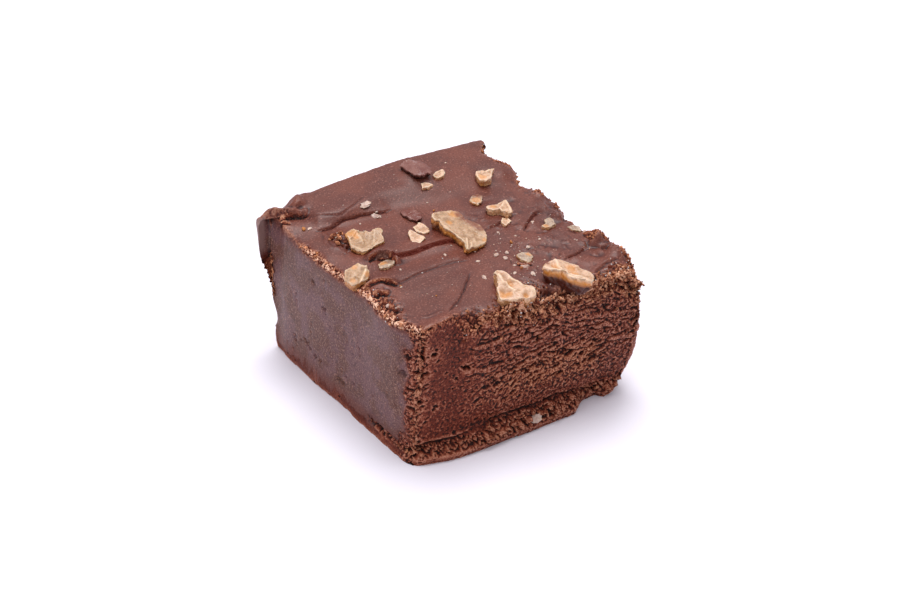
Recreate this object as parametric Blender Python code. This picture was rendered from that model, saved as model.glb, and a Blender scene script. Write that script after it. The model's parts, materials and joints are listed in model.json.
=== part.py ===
"""A hand-cut square of chocolate fudge with chopped walnut pressed into its top.

Metres, +Z up. The origin is the middle of the block's footprint, on the surface it
rests on. The torn, crumbly front faces -Y and the smooth cut left side faces -X.
Every size below is in millimetres and is turned to metres as a mesh is made.
"""

import math

import bmesh
import bpy
from mathutils import Matrix, Vector, noise

MM = 0.001

# Block: a hand-cut, uneven hexahedron.
BLOCK_HEIGHT = 26.5
BLOCK_CELLS = (30, 40, 15)
EDGE_CROWDING = 0.30
TOP_CORNERS = {"front_left": (-19.0, -20.5), "front_right": (23.2, -24.4),
               "back_left": (-22.4, 22.7), "back_right": (23.9, 24.4)}
FOOT_CORNERS = {"front_left": (-19.9, -20.1), "front_right": (24.8, -22.3),
                "back_left": (-22.5, 19.7), "back_right": (24.3, 23.0)}

# How far each side swells beyond the line between its corners: (share of the side, mm).
# Left and right sides run from front to back, front and back sides from left to right.
RIM_BOWS = {
    "left": ((0, 0), (0.05, 0.5), (0.13, 1.6), (0.22, 1.4), (0.34, 0.6), (0.60, 0.9),
             (0.86, 0.7), (1, 0)),
    "right": ((0, 0), (0.05, 0.3), (0.12, 1.3), (0.23, 1.1), (0.32, -0.9), (0.42, -1.0),
              (0.51, 0.4), (0.60, -0.4), (0.70, -1.9), (0.79, 0.6), (0.86, -1.8),
              (0.91, -2.9), (0.96, -0.6), (1, 0.4)),
    "front": ((0, 0), (0.09, -0.5), (0.165, -1.2), (0.22, -0.3), (0.32, 0), (1, 0)),
    "back": ((0, 0), (0.05, -0.9), (0.09, 0.2), (0.5, 0.4), (1, 0)),
}
FOOT_BOWS = {
    "left": ((0, 0), (0.05, 0.3), (0.40, 0.3), (0.63, 0.8), (0.86, 0.5), (1, 0)),
    "right": ((0, 0), (0.5, -0.6), (1, 0)),
    "front": ((0, 0), (0.20, 0.8), (0.40, 0.6), (0.70, 0.3), (1, 0)),
    "back": ((0, 0), (0.4, 0.5), (1, 0)),
}

# How far each rim stands above or below BLOCK_HEIGHT, and how wide that edge zone is.
RIM_RISES = {
    "left": ((0, 0.1), (0.15, -0.4), (0.30, -0.5), (0.80, -0.6), (0.92, 0.6), (1, 1.3)),
    "right": ((0, -1.6), (0.07, -0.4), (0.30, -0.3), (0.45, -0.9), (0.60, -0.1),
              (0.72, -0.9), (0.90, -0.4), (1, -0.2)),
    "front": ((0, 0.1), (0.09, 0.9), (0.165, 1.1), (0.22, 0.4), (0.32, -0.3), (0.50, -0.5),
              (0.73, -0.6), (0.91, 0.3), (1, -1.6)),
}
RIM_WIDTH = 3.2

# The last swirl of the spatula left a thick band along the back.
BAND_RISE = ((0, 0.4), (0.065, 0.2), (0.09, 1.5), (0.28, 1.8), (0.5, 2.0), (0.61, 1.85),
             (0.71, 1.4), (0.82, 1.15), (0.93, 0.9), (1, 0.6))
BAND_FRONT = ((-20, 16.0), (-13, 13.9), (-5, 14.6), (5, 13.0), (24, 13.0))
BAND_SLOPE = ((-20, 1.6), (-8, 2.2), (3, 5.0), (24, 6.0))

# Folds in the spread top. Behind each crease the top stands up and runs out backwards.
FOLDS = (
    {"crease": ((-18, 13.4), (-13, 13.3), (-4, 12.5)), "ends": (-19.5, -3.0), "rise": 0.5, "run": 2.5},
    {"crease": ((-13.5, -0.4), (-8, -0.7), (2, -1.1)), "ends": (-15.0, 3.0), "rise": 1.0, "run": 4.5},
    {"crease": ((-17, -6.0), (-12, -6.4), (-1, -6.4)), "ends": (-18.5, 1.0), "rise": 0.5, "run": 3.5},
)
FOLD_GROOVE = 0.3

# Lumps of fudge on the top: centre, half length, half width, heading and height.
LUMPS = {
    "back_lump": ((5.3, 18.4), 3.2, 2.5, 60, 1.3),
    "dark_chip": ((-1.4, 9.4), 1.8, 1.1, 96, 0.5),
    "rim_ball": ((22.5, -12.6), 2.1, 2.0, 0, 1.9),
    "rim_knob": ((21.2, -2.8), 1.8, 1.6, 20, 1.1),
    "rim_knob_middle": ((20.6, 0.9), 1.8, 1.3, 50, 0.8),
    "rim_knob_back": ((22.2, 4.4), 1.6, 1.2, 30, 0.7),
    "corner_lump": ((22.4, -17.4), 2.6, 2.2, 35, 1.1),
    "corner_curl": ((-19.4, 20.3), 3.3, 1.2, -14, 1.6),
    "left_crumble": ((-15.6, 10.2), 1.6, 1.2, 70, 0.8),
    "left_curl": ((-13.3, 1.4), 2.4, 1.3, 15, 0.9),
    "rim_fold": ((-18.0, -5.4), 2.2, 1.2, 20, 0.8),
}

# Foot lip along the front, with the stretch near the right end broken away.
LIP_TALL = ((-21, 2.6), (-12, 2.8), (-4, 3.6), (26, 3.4))
LIP_OUT = ((-20.5, 0.9), (-18, 2.1), (-14, 2.6), (-5, 2.6), (12.6, 2.4), (14.2, -0.3),
           (18.6, -0.3), (19.6, 1.6), (22.4, 1.4), (24.5, 0.3))
LIP_UNDERCUT = 0.5
FOOT_ROUND = 0.7

# Burr: a strip rolled over the back edge of the left side as the square was cut.
BURR_OUT = ((0, 0.7), (3, 0.6), (6, 0), (8, 0.3), (13, 1.0), (20, 2.7), (25, 3.0), (28, 2.4))
BURR_START = 19.3
BURR_GROOVE = 0.5

FLANGE_OUT = 0.6

CORNER_WEAR = ((0, 3.4), (1.2, 2.3), (3, 1.4), (6, 0.6), (9, 0))

WORN_FRONT = 0.2

SIDE_SWELL = ((-16, 1.3), (-6, 0.3), (22, 0.2))

RELIEF_REACH = 0.16
TORN_DEPTH = 0.45
CUT_DEPTH = 0.12
SPREAD_DEPTH = 0.22

# Walnut pieces.
NUT_GAP = 0.3
SHARD_FOOT = 0.66
SHARD_ROUGH = 0.10
SHARD_RINGS = ((0.86, 0.22), (1.0, 0.55), (0.97, 0.86), (0.74, 1.0))
NUTS = {
    "walnut_left": {
        "at": (-12.6, 6.6), "thick": 2.5, "proud": 1.1, "lean": (6, -120), "seed": 1,
        "outline": ((-2.4, 2.6), (-0.6, 3.2), (0.7, 1.8), (2.3, 1.4), (3.7, 1.2), (3.0, -0.8),
                    (1.9, -1.5), (-0.4, -2.0), (-2.4, -2.7), (-3.4, -1.0), (-3.1, 0.8)),
    },
    "walnut_centre": {
        "at": (3.3, 0.9), "thick": 3.0, "proud": 1.6, "lean": (6, 60), "seed": 2,
        "outline": ((-2.8, 4.7), (-1.4, 6.2), (0.6, 5.6), (2.6, 4.3), (2.9, 1.8), (3.2, -1.2),
                    (2.6, -4.0), (1.4, -5.3), (-0.6, -5.4), (-2.2, -4.6), (-2.8, -2.4),
                    (-2.5, 0.4), (-1.7, 3.0)),
    },
    "walnut_spike": {
        "at": (0.0, -17.4), "thick": 4.0, "proud": 2.1, "lean": (8, -60), "seed": 3,
        "outline": ((0.6, 4.4), (1.5, 3.0), (1.7, 1.3), (2.0, -0.9), (3.0, -1.8), (2.5, -3.5),
                    (0.6, -3.2), (-1.2, -2.7), (-2.3, -2.3), (-2.0, -0.2), (-0.5, 2.2)),
    },
    "walnut_right": {
        "at": (10.9, -20.2), "thick": 3.8, "proud": 2.3, "lean": (9, 100), "seed": 4,
        "outline": ((-3.5, 2.6), (-1.8, 4.0), (0.8, 4.5), (1.8, 3.6), (2.7, 1.2), (4.0, -1.0),
                    (2.4, -3.2), (0.4, -3.6), (-0.4, -2.1), (-1.8, -0.6), (-3.4, 0.1), (-4.0, 1.2)),
    },
    "walnut_back_right": {
        "at": (17.3, 12.9), "thick": 2.0, "proud": 1.2, "lean": (4, 45), "seed": 5,
        "outline": ((-1.7, 1.2), (-0.2, 2.1), (0.8, 1.5), (2.4, 1.1), (0.0, -1.7), (-1.4, -1.5),
                    (-2.3, -0.4)),
    },
    "walnut_bird": {
        "at": (13.4, 2.9), "thick": 1.6, "proud": 1.0, "lean": (10, 60), "seed": 6,
        "outline": ((-2.4, 1.8), (-0.8, 1.3), (2.3, 2.2), (0.8, -1.8), (-0.7, -1.7), (-1.4, -0.5)),
    },
    "walnut_left_rim": {
        "at": (-19.1, -1.5), "thick": 2.8, "proud": 1.4, "lean": (8, 20), "seed": 7,
        "outline": ((-1.5, 1.3), (0.6, 2.5), (2.1, 2.2), (1.9, -0.6), (0.1, -2.1), (-1.8, -1.4)),
    },
}
CHIPS = {
    "walnut_left_sunk": {"at": (-13.6, -0.9), "size": (4.0, 2.6), "turn": 78, "thick": 1.8, "proud": 0.7},
    "walnut_pair_back": {"at": (-2.1, 4.7), "size": (3.6, 2.6), "turn": 60, "thick": 1.6, "proud": 0.9},
    "walnut_pair_front": {"at": (-4.5, 2.5), "size": (4.0, 2.5), "turn": 85, "thick": 1.6, "proud": 0.9},
    "walnut_back_flake": {"at": (9.0, 16.2), "size": (3.2, 2.2), "turn": 55, "thick": 1.5, "proud": 1.0},
    "walnut_back_chip": {"at": (4.8, 13.9), "size": (2.5, 1.8), "turn": 146, "thick": 1.2, "proud": 0.7},
    "walnut_bird_chip": {"at": (12.0, -0.7), "size": (2.6, 1.6), "turn": 64, "thick": 1.2, "proud": 0.6},
    "walnut_smeared": {"at": (11.6, 8.3), "size": (3.3, 2.5), "turn": 63, "thick": 1.6, "proud": 0.7},
    "walnut_right_sunk": {"at": (18.2, -4.2), "size": (4.6, 2.5), "turn": 51, "thick": 2.0, "proud": 0.9},
    "walnut_right_flat": {"at": (20.9, -7.7), "size": (3.0, 2.2), "turn": 51, "thick": 1.2, "proud": 0.5},
    "walnut_front_sunk": {"at": (8.4, -11.0), "size": (4.0, 2.9), "turn": 39, "thick": 1.6, "proud": 0.5},
}
CHIP_CORNERS = 7


def hex_linear(code):
    """An sRGB hex colour as the linear RGBA that a shader takes."""
    channels = [int(code[i:i + 2], 16) / 255 for i in (0, 2, 4)]
    linear = [c / 12.92 if c <= 0.04045 else ((c + 0.055) / 1.055) ** 2.4 for c in channels]
    return (*linear, 1.0)


def plain_material(name, code, roughness):
    material = bpy.data.materials.new(name)
    material.use_nodes = True
    shader = material.node_tree.nodes["Principled BSDF"]
    shader.inputs["Base Color"].default_value = hex_linear(code)
    shader.inputs["Roughness"].default_value = roughness
    return material


def ease(t):
    """0 to 1 with level ends."""
    t = min(max(t, 0.0), 1.0)
    return t * t * (3 - 2 * t)


def mix(a, b, t):
    return a + (b - a) * t


def along(stops, t):
    """A smooth curve through (place, value) stops, level beyond its ends."""
    if t <= stops[0][0]:
        return stops[0][1]
    for (start, low), (end, high) in zip(stops, stops[1:]):
        if t <= end:
            return mix(low, high, ease((t - start) / (end - start)))
    return stops[-1][1]


def dome(distance):
    """A rounded bump that is 1 in the middle and 0 from distance 1.2 outwards."""
    return ease(1.25 - distance)


def grain(x, y, z, size, seed=0):
    """Smooth noise between -1 and 1 with features of the given size."""
    return noise.noise(Vector((x / size + 31 * seed, y / size, z / size)))


def between_corners(corners, u, v):
    front = Vector(corners["front_left"]).lerp(Vector(corners["front_right"]), u)
    back = Vector(corners["back_left"]).lerp(Vector(corners["back_right"]), u)
    return front.lerp(back, v)


def bowed(side, place, w):
    return mix(along(FOOT_BOWS[side], place), along(RIM_BOWS[side], place), w)


def block_plan(u, v, w):
    """The plan position of a point of the block, from its three shares of the way across."""
    point = between_corners(FOOT_CORNERS, u, v).lerp(between_corners(TOP_CORNERS, u, v), w)
    across = bowed("right", v, w) * u - bowed("left", v, w) * (1 - u)
    deep = bowed("back", u, w) * v - bowed("front", u, w) * (1 - v)
    return point + Vector((across, deep))


def shares(x, y):
    """How far x and y are across the top, from 0 to 1, near enough to read the rims by."""
    left = mix(TOP_CORNERS["front_left"][0], TOP_CORNERS["back_left"][0], 0.5)
    right = TOP_CORNERS["back_right"][0]
    front = mix(TOP_CORNERS["front_left"][1], TOP_CORNERS["front_right"][1], 0.5)
    back = TOP_CORNERS["back_right"][1]
    return (x - left) / (right - left), (y - front) / (back - front)


def rim_relief(u, v, x, y):
    """Rise or fall of the top near its left, right and front rims."""
    edge = {side: block_plan(*place, 1) for side, place in
            {"left": (0, v), "right": (1, v), "front": (u, 0)}.items()}
    inward = {"left": x - edge["left"].x, "right": edge["right"].x - x, "front": y - edge["front"].y}
    place = {"left": v, "right": v, "front": u}
    return sum(along(RIM_RISES[side], place[side]) * ease(1 - inward[side] / RIM_WIDTH)
               for side in inward)


def fold_relief(fold, x, y):
    start, end = fold["ends"]
    presence = ease((x - start) / 2.5) * ease((end - x) / 4)
    behind = y - along(fold["crease"], x) - 0.3 * grain(x, 0, 0, 5)
    if behind >= 0:
        return presence * fold["rise"] * math.exp(-behind / fold["run"]) * ease(0.4 + behind)
    return -presence * FOLD_GROOVE * fold["rise"] * math.exp(behind / 1.2)


def lump_relief(lump, x, y):
    (centre_x, centre_y), half_long, half_short, heading, height = lump
    turned = Matrix.Rotation(math.radians(-heading), 2) @ Vector((x - centre_x, y - centre_y))
    return height * dome(Vector((turned.x / half_long, turned.y / half_short)).length)


def top_relief(x, y):
    """Height of the spread top above BLOCK_HEIGHT."""
    u, v = shares(x, y)
    slope = along(BAND_SLOPE, x)
    relief = along(BAND_RISE, u) * ease((y - along(BAND_FRONT, x)) / slope + 0.5)
    relief += rim_relief(u, v, x, y) * (1 - ease((v - 0.75) * 8))
    relief += sum(fold_relief(fold, x, y) for fold in FOLDS)
    relief += SPREAD_DEPTH * grain(x / 2.2, y, 0, 5, seed=1)
    return relief + sum(lump_relief(lump, x, y) for lump in LUMPS.values())


def corner_wear(x, z):
    """How far the right end of the foot is worn back from the front and right sides."""
    return along(CORNER_WEAR, z) * ease((x - 15) / 9)


def front_relief(x, z):
    """Outward relief of the front: torn bands, the foot lip and the worn right end."""
    tall = along(LIP_TALL, x)
    out = TORN_DEPTH * grain(x / 1.8, 0, z, 3.4, seed=2) * mix(0.4, 1.0, ease((x + 8) / 10))
    lip = along(LIP_OUT, x) * (1 - ease((z - tall + 0.7) / 0.9))
    groove = 0.35 * math.exp(-((z - tall - 0.5) / 0.6) ** 2)
    undercut = LIP_UNDERCUT * (1 - ease(z / 1.3))
    return out + lip - groove - undercut - WORN_FRONT * corner_wear(x, z)


def left_relief(y, z):
    """Outward relief of the smooth cut side, with the burr along its back edge."""
    burr = along(BURR_OUT, z) * ease((y - BURR_START) / 0.8)
    groove = BURR_GROOVE * math.exp(-((y - BURR_START + 0.7) / 0.7) ** 2) * ease(z / 12)
    flange = FLANGE_OUT * (1 - ease((z - 0.6) / 0.8)) * (1 - ease((y + 8) / 8))
    return CUT_DEPTH * grain(0, y, z / 2, 6, seed=3) + burr - groove + flange


def right_relief(y, z):
    """Outward relief of the hidden torn side, swollen at middle height."""
    swell = along(SIDE_SWELL, y) * math.sin(math.pi * z / BLOCK_HEIGHT)
    foot = FOOT_ROUND * (1 - ease(z / 1.5))
    worn = corner_wear(mix(24, 10, ease((y + 22) / 9)), z)
    return TORN_DEPTH * grain(0, y / 1.8, z, 3.6, seed=4) + swell - foot - worn


def back_relief(x, z):
    """Outward relief of the hidden cut side."""
    return CUT_DEPTH * grain(x, 0, z / 2, 6, seed=5) - FOOT_ROUND * (1 - ease(z / 1.5))


def crowd(t):
    """Grid share with cells drawn towards both ends."""
    return t - EDGE_CROWDING * math.sin(2 * math.pi * t) / (2 * math.pi)


def near(share):
    """How much a point at this share of the way in follows the relief of a side."""
    return 1 - ease(share / RELIEF_REACH)


def block_position(grid):
    """Where a point of the unit cube's grid lies on the block, in mm."""
    u, v, w = (crowd(share + 0.5) for share in grid)
    x, y = block_plan(u, v, w)
    z = w * (BLOCK_HEIGHT + top_relief(x, y))
    across = near(1 - u) * right_relief(y, z) - near(u) * left_relief(y, z)
    deep = near(1 - v) * back_relief(x, z) - near(v) * front_relief(x, z)
    return Vector((x + across, y + deep, z))


def cut_in_cells(bm, axis, cuts):
    """Cuts every edge that runs along one axis, and the faces between them."""
    edges = [edge for edge in bm.edges if abs((edge.verts[0].co - edge.verts[1].co)[axis]) > 0.5]
    bmesh.ops.subdivide_edges(bm, edges=edges, cuts=cuts - 1, use_grid_fill=True)


def on_cube_edges(vert):
    """True where the point lies on an upright edge or a top edge of the unit cube."""
    sides = (abs(vert.co.x) > 0.499) + (abs(vert.co.y) > 0.499) + (vert.co.z > 0.499)
    return sides >= 2


def make_block(material, collection):
    bm = bmesh.new()
    bmesh.ops.create_cube(bm, size=1)
    for axis, cuts in enumerate(BLOCK_CELLS):
        cut_in_cells(bm, axis, cuts)
    edge_verts = [vert for vert in bm.verts if on_cube_edges(vert)]
    foot_verts = [vert for vert in bm.verts if vert.co.z < -0.499]
    foot_faces = [face for face in bm.faces if face.calc_center_median().z < -0.499]
    for vert in bm.verts:
        vert.co = block_position(vert.co.copy())
    bmesh.ops.smooth_vert(bm, verts=edge_verts, factor=0.45, use_axis_x=True, use_axis_y=True,
                          use_axis_z=True)
    for vert in foot_verts:
        vert.co.z = 0
    bmesh.ops.dissolve_faces(bm, faces=foot_faces)
    bmesh.ops.scale(bm, vec=(MM, MM, MM), verts=bm.verts)
    bmesh.ops.recalc_face_normals(bm, faces=bm.faces)
    return add_object("fudge", bm, material, collection)


def add_object(name, bm, material, collection):
    mesh = bpy.data.meshes.new(name)
    bm.to_mesh(mesh)
    bm.free()
    mesh.materials.append(material)
    mesh.shade_smooth()
    mesh.set_sharp_from_angle(angle=math.radians(40))
    thing = bpy.data.objects.new(name, mesh)
    collection.objects.link(thing)
    return thing


def chip_outline(size, seed):
    """An irregular outline of the given length and width, in mm."""
    points = []
    for corner in range(CHIP_CORNERS):
        turn = 2 * math.pi * (corner + 0.35 * grain(corner, seed, 0, 1.7)) / CHIP_CORNERS
        reach = 1 + 0.22 * grain(corner, 0, seed, 1.3, seed=6)
        points.append((size[0] / 2 * reach * math.cos(turn), size[1] / 2 * reach * math.sin(turn)))
    return points


def shard(outline, thick, seed):
    """A broken piece of nut lying flat: its outline drawn up through uneven rings, in mm."""
    bm = bmesh.new()
    bmesh.ops.create_circle(bm, cap_ends=True, radius=1, segments=len(outline))
    for vert, (x, y) in zip(bm.verts, outline):
        vert.co = Vector((x * SHARD_FOOT, y * SHARD_FOOT, 0))
    foot = cap = bm.faces[:][0]
    reached = SHARD_FOOT
    for reach, level in SHARD_RINGS:
        grown = bmesh.ops.extrude_face_region(bm, geom=[cap])["geom"]
        if cap is not foot:
            bmesh.ops.delete(bm, geom=[cap], context="FACES_ONLY")
        cap = next(item for item in grown if isinstance(item, bmesh.types.BMFace))
        for vert in cap.verts:
            x, y = vert.co.x * reach / reached, vert.co.y * reach / reached
            rough = SHARD_ROUGH * thick * grain(x, y, level * 4, 1.7, seed=seed)
            vert.co = Vector((x, y, thick * level + rough))
        reached = reach
    bmesh.ops.poke(bm, faces=[foot, cap])
    bmesh.ops.recalc_face_normals(bm, faces=bm.faces)
    return bm


def grow(bm, gap):
    """Moves every face of a closed shape outwards by the gap."""
    bm.normal_update()
    moves = [vert.normal * gap * vert.calc_shell_factor() for vert in bm.verts]
    for vert, move in zip(bm.verts, moves):
        vert.co += move


def set_in_top(bm, nut):
    """Leans a flat shape, puts it part way into the top of the block, and turns mm to metres."""
    x, y = nut["at"]
    lean, towards = (math.radians(angle) for angle in nut["lean"])
    base = BLOCK_HEIGHT + top_relief(x, y) + nut["proud"] - nut["thick"]
    hinge = Vector((-math.sin(towards), math.cos(towards), 0))
    place = Matrix.Translation((x, y, base)) @ Matrix.Rotation(lean, 4, hinge)
    bmesh.ops.transform(bm, matrix=Matrix.Scale(MM, 4) @ place, verts=bm.verts)


def make_nut(name, nut, material, collection, cutters):
    """A piece of walnut, and the cutter that clears its bed in the fudge."""
    for gap, home in ((0, collection), (NUT_GAP, cutters)):
        bm = shard(nut["outline"], nut["thick"], nut["seed"])
        grow(bm, gap)
        set_in_top(bm, nut)
        thing = add_object(name if gap == 0 else name + "_bed", bm, material, home)
    thing.hide_render = True
    thing.display_type = "WIRE"


def chip_as_nut(seed, chip):
    """Fills in what the small pieces share: an irregular outline turned to its heading."""
    turned = Matrix.Rotation(math.radians(chip["turn"]), 2)
    outline = [tuple(turned @ Vector(point)) for point in chip_outline(chip["size"], seed)]
    return {**chip, "outline": outline, "lean": (6, 77 * seed), "seed": seed}


def cut_beds(block, cutters):
    beds = block.modifiers.new("nut_beds", "BOOLEAN")
    beds.operand_type = "COLLECTION"
    beds.collection = cutters
    beds.solver = "EXACT"


def new_collection(name):
    collection = bpy.data.collections.new(name)
    bpy.context.scene.collection.children.link(collection)
    return collection


def main():
    for thing in list(bpy.data.objects):
        bpy.data.objects.remove(thing)
    collection = new_collection("chocolate_fudge")
    cutters = new_collection("nut_bed_cutters")
    fudge = plain_material("chocolate_fudge", "6E4238", 0.5)
    walnut = plain_material("walnut_meat", "D8A681", 0.55)
    block = make_block(fudge, collection)
    nuts = {**NUTS, **{name: chip_as_nut(seed, chip) for seed, (name, chip)
                       in enumerate(CHIPS.items(), start=11)}}
    for name, nut in nuts.items():
        make_nut(name, nut, walnut, collection, cutters)
    cut_beds(block, cutters)


main()
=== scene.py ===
"""Looks of a hand-cut square of chocolate fudge with chopped walnut in its top.

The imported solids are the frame. The fudge and each piece of walnut are replaced by
finely worked pieces in the same places, and crumbs, flakes and grains of sugar are
strewn over them. Lengths are in millimetres until a mesh is made.
"""

import itertools
import json
import math
import random
from types import SimpleNamespace
from typing import NamedTuple

import bmesh
import bpy
import numpy as np
from mathutils import Matrix, Vector, noise
from mathutils.bvhtree import BVHTree
from mathutils.kdtree import KDTree

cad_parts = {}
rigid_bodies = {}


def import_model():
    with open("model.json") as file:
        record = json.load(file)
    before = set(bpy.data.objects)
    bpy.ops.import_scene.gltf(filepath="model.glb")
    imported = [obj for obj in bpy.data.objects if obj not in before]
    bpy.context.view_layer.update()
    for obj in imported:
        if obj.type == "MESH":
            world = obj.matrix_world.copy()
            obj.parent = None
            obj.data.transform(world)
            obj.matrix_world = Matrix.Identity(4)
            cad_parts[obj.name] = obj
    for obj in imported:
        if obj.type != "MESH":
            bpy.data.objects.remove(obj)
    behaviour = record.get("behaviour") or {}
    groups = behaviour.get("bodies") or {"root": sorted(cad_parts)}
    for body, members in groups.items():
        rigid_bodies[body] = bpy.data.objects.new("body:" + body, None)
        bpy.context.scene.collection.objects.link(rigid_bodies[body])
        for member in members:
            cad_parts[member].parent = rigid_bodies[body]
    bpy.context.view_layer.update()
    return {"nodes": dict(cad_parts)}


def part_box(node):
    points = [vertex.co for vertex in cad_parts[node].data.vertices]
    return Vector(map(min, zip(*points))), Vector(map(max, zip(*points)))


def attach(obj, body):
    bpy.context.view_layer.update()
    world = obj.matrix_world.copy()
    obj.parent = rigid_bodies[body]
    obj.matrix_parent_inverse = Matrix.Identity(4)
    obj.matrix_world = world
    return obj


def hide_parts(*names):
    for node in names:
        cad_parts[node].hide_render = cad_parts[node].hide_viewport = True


MM = 0.001

# Working meshes, the plugs that fill the walnuts' beds in the fudge, and limits between its
# parts, in mm.
BODY_VOXEL = 0.20
BODY_TRIANGLES = 194_000
NUT_VOXEL = 0.12
MERGE = 1e-7
PLUG_SPREAD = 1.22
PLUG_SINK = 0.12
PLUG_FOOT = 0.45
ON_FLOOR = 0.15
UNDERSIDE = 0.12
TOP_LEVEL = 26.5
TOP_FROM = 21
RIM_DEPTH = 3.2
SKY_HIGH = 60
FAINT = 0.004  # masks below this count as nothing
CELL_TABLE = 32  # random lumps repeat after this many
TORN_LOOK = 0.45  # faces more torn than this take the torn material

# Camera and light: the camera's aim and distance are in mm, the lamps' places in metres.
LENS, SENSOR = 80, 36
CAMERA_BACK = (-0.48644, -0.65908, 0.57358)
CAMERA_AIM = (12.5, 15.58, 0)
CAMERA_AWAY = 373
CAMERA_HEADING, CAMERA_ROLL = -36.43, 3.5
LAMPS = {"key": ((0.10, 0.17, 0.81), 0.50, 6.8), "fill": ((-0.7, 0.0, 0.45), 0.5, 0.8)}
SKY_COLOUR, SKY_STRENGTH = (0.975, 0.955, 1.0, 1), 0.80
FLOOR_SIZE = 2.0


class Crease(NamedTuple):
    """A crease that the spatula left in the top, with the top standing higher behind it."""

    rise: float
    run: float  # how far the step runs out behind
    fold: float  # depth of the fold
    line: tuple  # plan points from left to right


class Ridge(NamedTuple):
    """A curl of fudge or a thin raised line."""

    high: float
    wide: float
    under: float  # how deep its foot is folded in, on the right-hand side of the line
    line: tuple


class Nut(NamedTuple):
    """A broken piece of walnut."""

    at: tuple  # plan place
    thick: float
    proud: float  # how far its top stands out of the fudge
    lean: tuple  # angle, and the heading that it leans to
    seed: int
    outline: tuple  # of the top, from its plan place
    mounds: tuple = ()  # low mounds and hollows: x, y, radius, height
    ridges: tuple = ()  # from x, y to x, y, height, width
    amber: tuple = ()  # patches where oil shows: x, y, radius
    skin: tuple = ()  # patches of brown skin: x, y, radius
    base: float = 0.5  # how dark the side walls go: amber, then painted shade towards their foot
    tilt: float = 0.12  # steepness of the broken facets
    meat: str = "cream"


# Plan corners of the block at half height, from which a point's side is told.
PLAN = {"front_left": (-19.5, -20.3), "front_right": (24.0, -23.3),
        "back_left": (-22.4, 21.2), "back_right": (24.1, 23.7)}
SIDES = {"left": ("back_left", "front_left"), "front": ("front_left", "front_right"),
         "right": ("front_right", "back_right"), "back": ("back_right", "back_left")}
# Feet and heads of the upright edges that are worn.
UPRIGHTS = {
    "front_left": ((-19.9, -20.1, 0), (-19.0, -20.5, 26.5)),
    "front_right": ((24.8, -22.3, 0), (23.2, -24.4, 26.5)),
    "back_right": ((24.3, 23.0, 0), (23.9, 24.4, 27.0)),
}

# Creases of the top, as rise, run, fold and line.
CREASES = (
    Crease(0.28, 2.2, 0.26, ((-18.8, 14.0), (-17.8, 13.5), (-15.8, 13.1), (-13.3, 13.5),
           (-9.6, 13.4), (-7.0, 13.0), (-4.7, 12.6), (-3.0, 12.7))),
    Crease(0.14, 1.2, 0.08, ((-18.8, 17.2), (-17.9, 16.9), (-15.6, 15.3), (-13.0, 14.1),
           (-10.1, 15.0), (-6.0, 16.9))),
    Crease(0.42, 2.4, 0.48, ((-13.4, -0.3), (-12.5, -0.4), (-8.4, -0.7), (-4.3, -0.6), (-0.4, -1.0),
           (1.6, -1.6))),
    Crease(0.28, 1.8, 0.12, ((-17.6, -5.8), (-16.8, -5.9), (-14.2, -6.6), (-11.5, -6.3),
           (-8.6, -6.0), (-5.3, -6.0), (-2.2, -6.4), (-0.4, -6.6))),
    Crease(0.24, 1.8, 0.24, ((-12.4, -17.8), (-11.6, -17.1), (-8.4, -15.3), (-6.3, -13.4),
           (-3.5, -10.8), (-2.4, -9.6))),
    Crease(0.32, 1.2, 0.26, ((6.6, -0.6), (7.5, -0.4), (9.2, -0.4), (10.9, 0.2), (12.6, 0.2),
           (13.4, 0.0))),
    Crease(0.32, 1.2, 0.28, ((12.2, -4.0), (12.97, -3.7), (15.9, -1.7), (17.2, -1.0), (18.4, -0.7),
           (19.6, -1.2))),
    Crease(0.3, 1.2, 0.26, ((12.6, -15.0), (14.4, -14.6), (16.4, -14.3), (18.6, -13.7),
           (20.2, -14.0))),
    Crease(0.5, 1.2, 0.22, ((15.0, -20.6), (15.9, -20.3), (18.6, -19.5), (21.0, -19.2),
           (22.0, -19.6))),
    Crease(0.3, 1.0, 0.24, ((19.6, -12.6), (20.2, -13.9), (21.6, -15.4), (23.4, -15.2))),
    Crease(0.2, 0.8, 0.3, ((4.5, -11.8), (5.3, -10.6), (5.6, -9.6))),
)
CREASE_REACH = 4.0  # how far from its line a crease is felt
FOLD_WIDTH = 0.17

# Curls and raised lines of the top, as high, wide, under and line.
RIDGES = (
    Ridge(0.85, 0.5, 0.45, ((-11.7, -2.4), (-11.5, -1.0), (-12.2, 0.4), (-13.4, 1.3), (-14.8, 1.7),
          (-16.0, 1.5))),
    Ridge(0.65, 0.45, 0.35, ((-14.6, -7.0), (-15.8, -5.9), (-17.4, -4.9), (-18.9, -4.4),
          (-20.4, -4.4))),
    Ridge(0.7, 0.5, 0.35, ((-17.2, -8.3), (-18.6, -7.2), (-20.0, -6.7))),
    Ridge(0.16, 0.2, 0.0, ((-17.0, -16.0), (-16.1, -17.0), (-14.7, -17.2), (-13.1, -16.8),
          (-12.5, -17.5))),
    Ridge(0.22, 0.35, 0.0, ((-17.4, 6.6), (-18.8, 7.8), (-18.7, 9.7), (-17.4, 11.4),
          (-17.4, 13.0))),
    Ridge(0.8, 0.65, 0.4, ((-16.9, 17.9), (-18.6, 18.9), (-20.2, 19.4), (-21.8, 19.8),
          (-23.4, 20.2))),
    Ridge(0.3, 0.35, 0.35, ((-20.6, 17.2), (-21.4, 18.2), (-22.4, 19.2))),
    Ridge(0.25, 0.35, 0.25, ((8.4, -13.2), (6.6, -12.4), (5.8, -11.2))),
)

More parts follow.
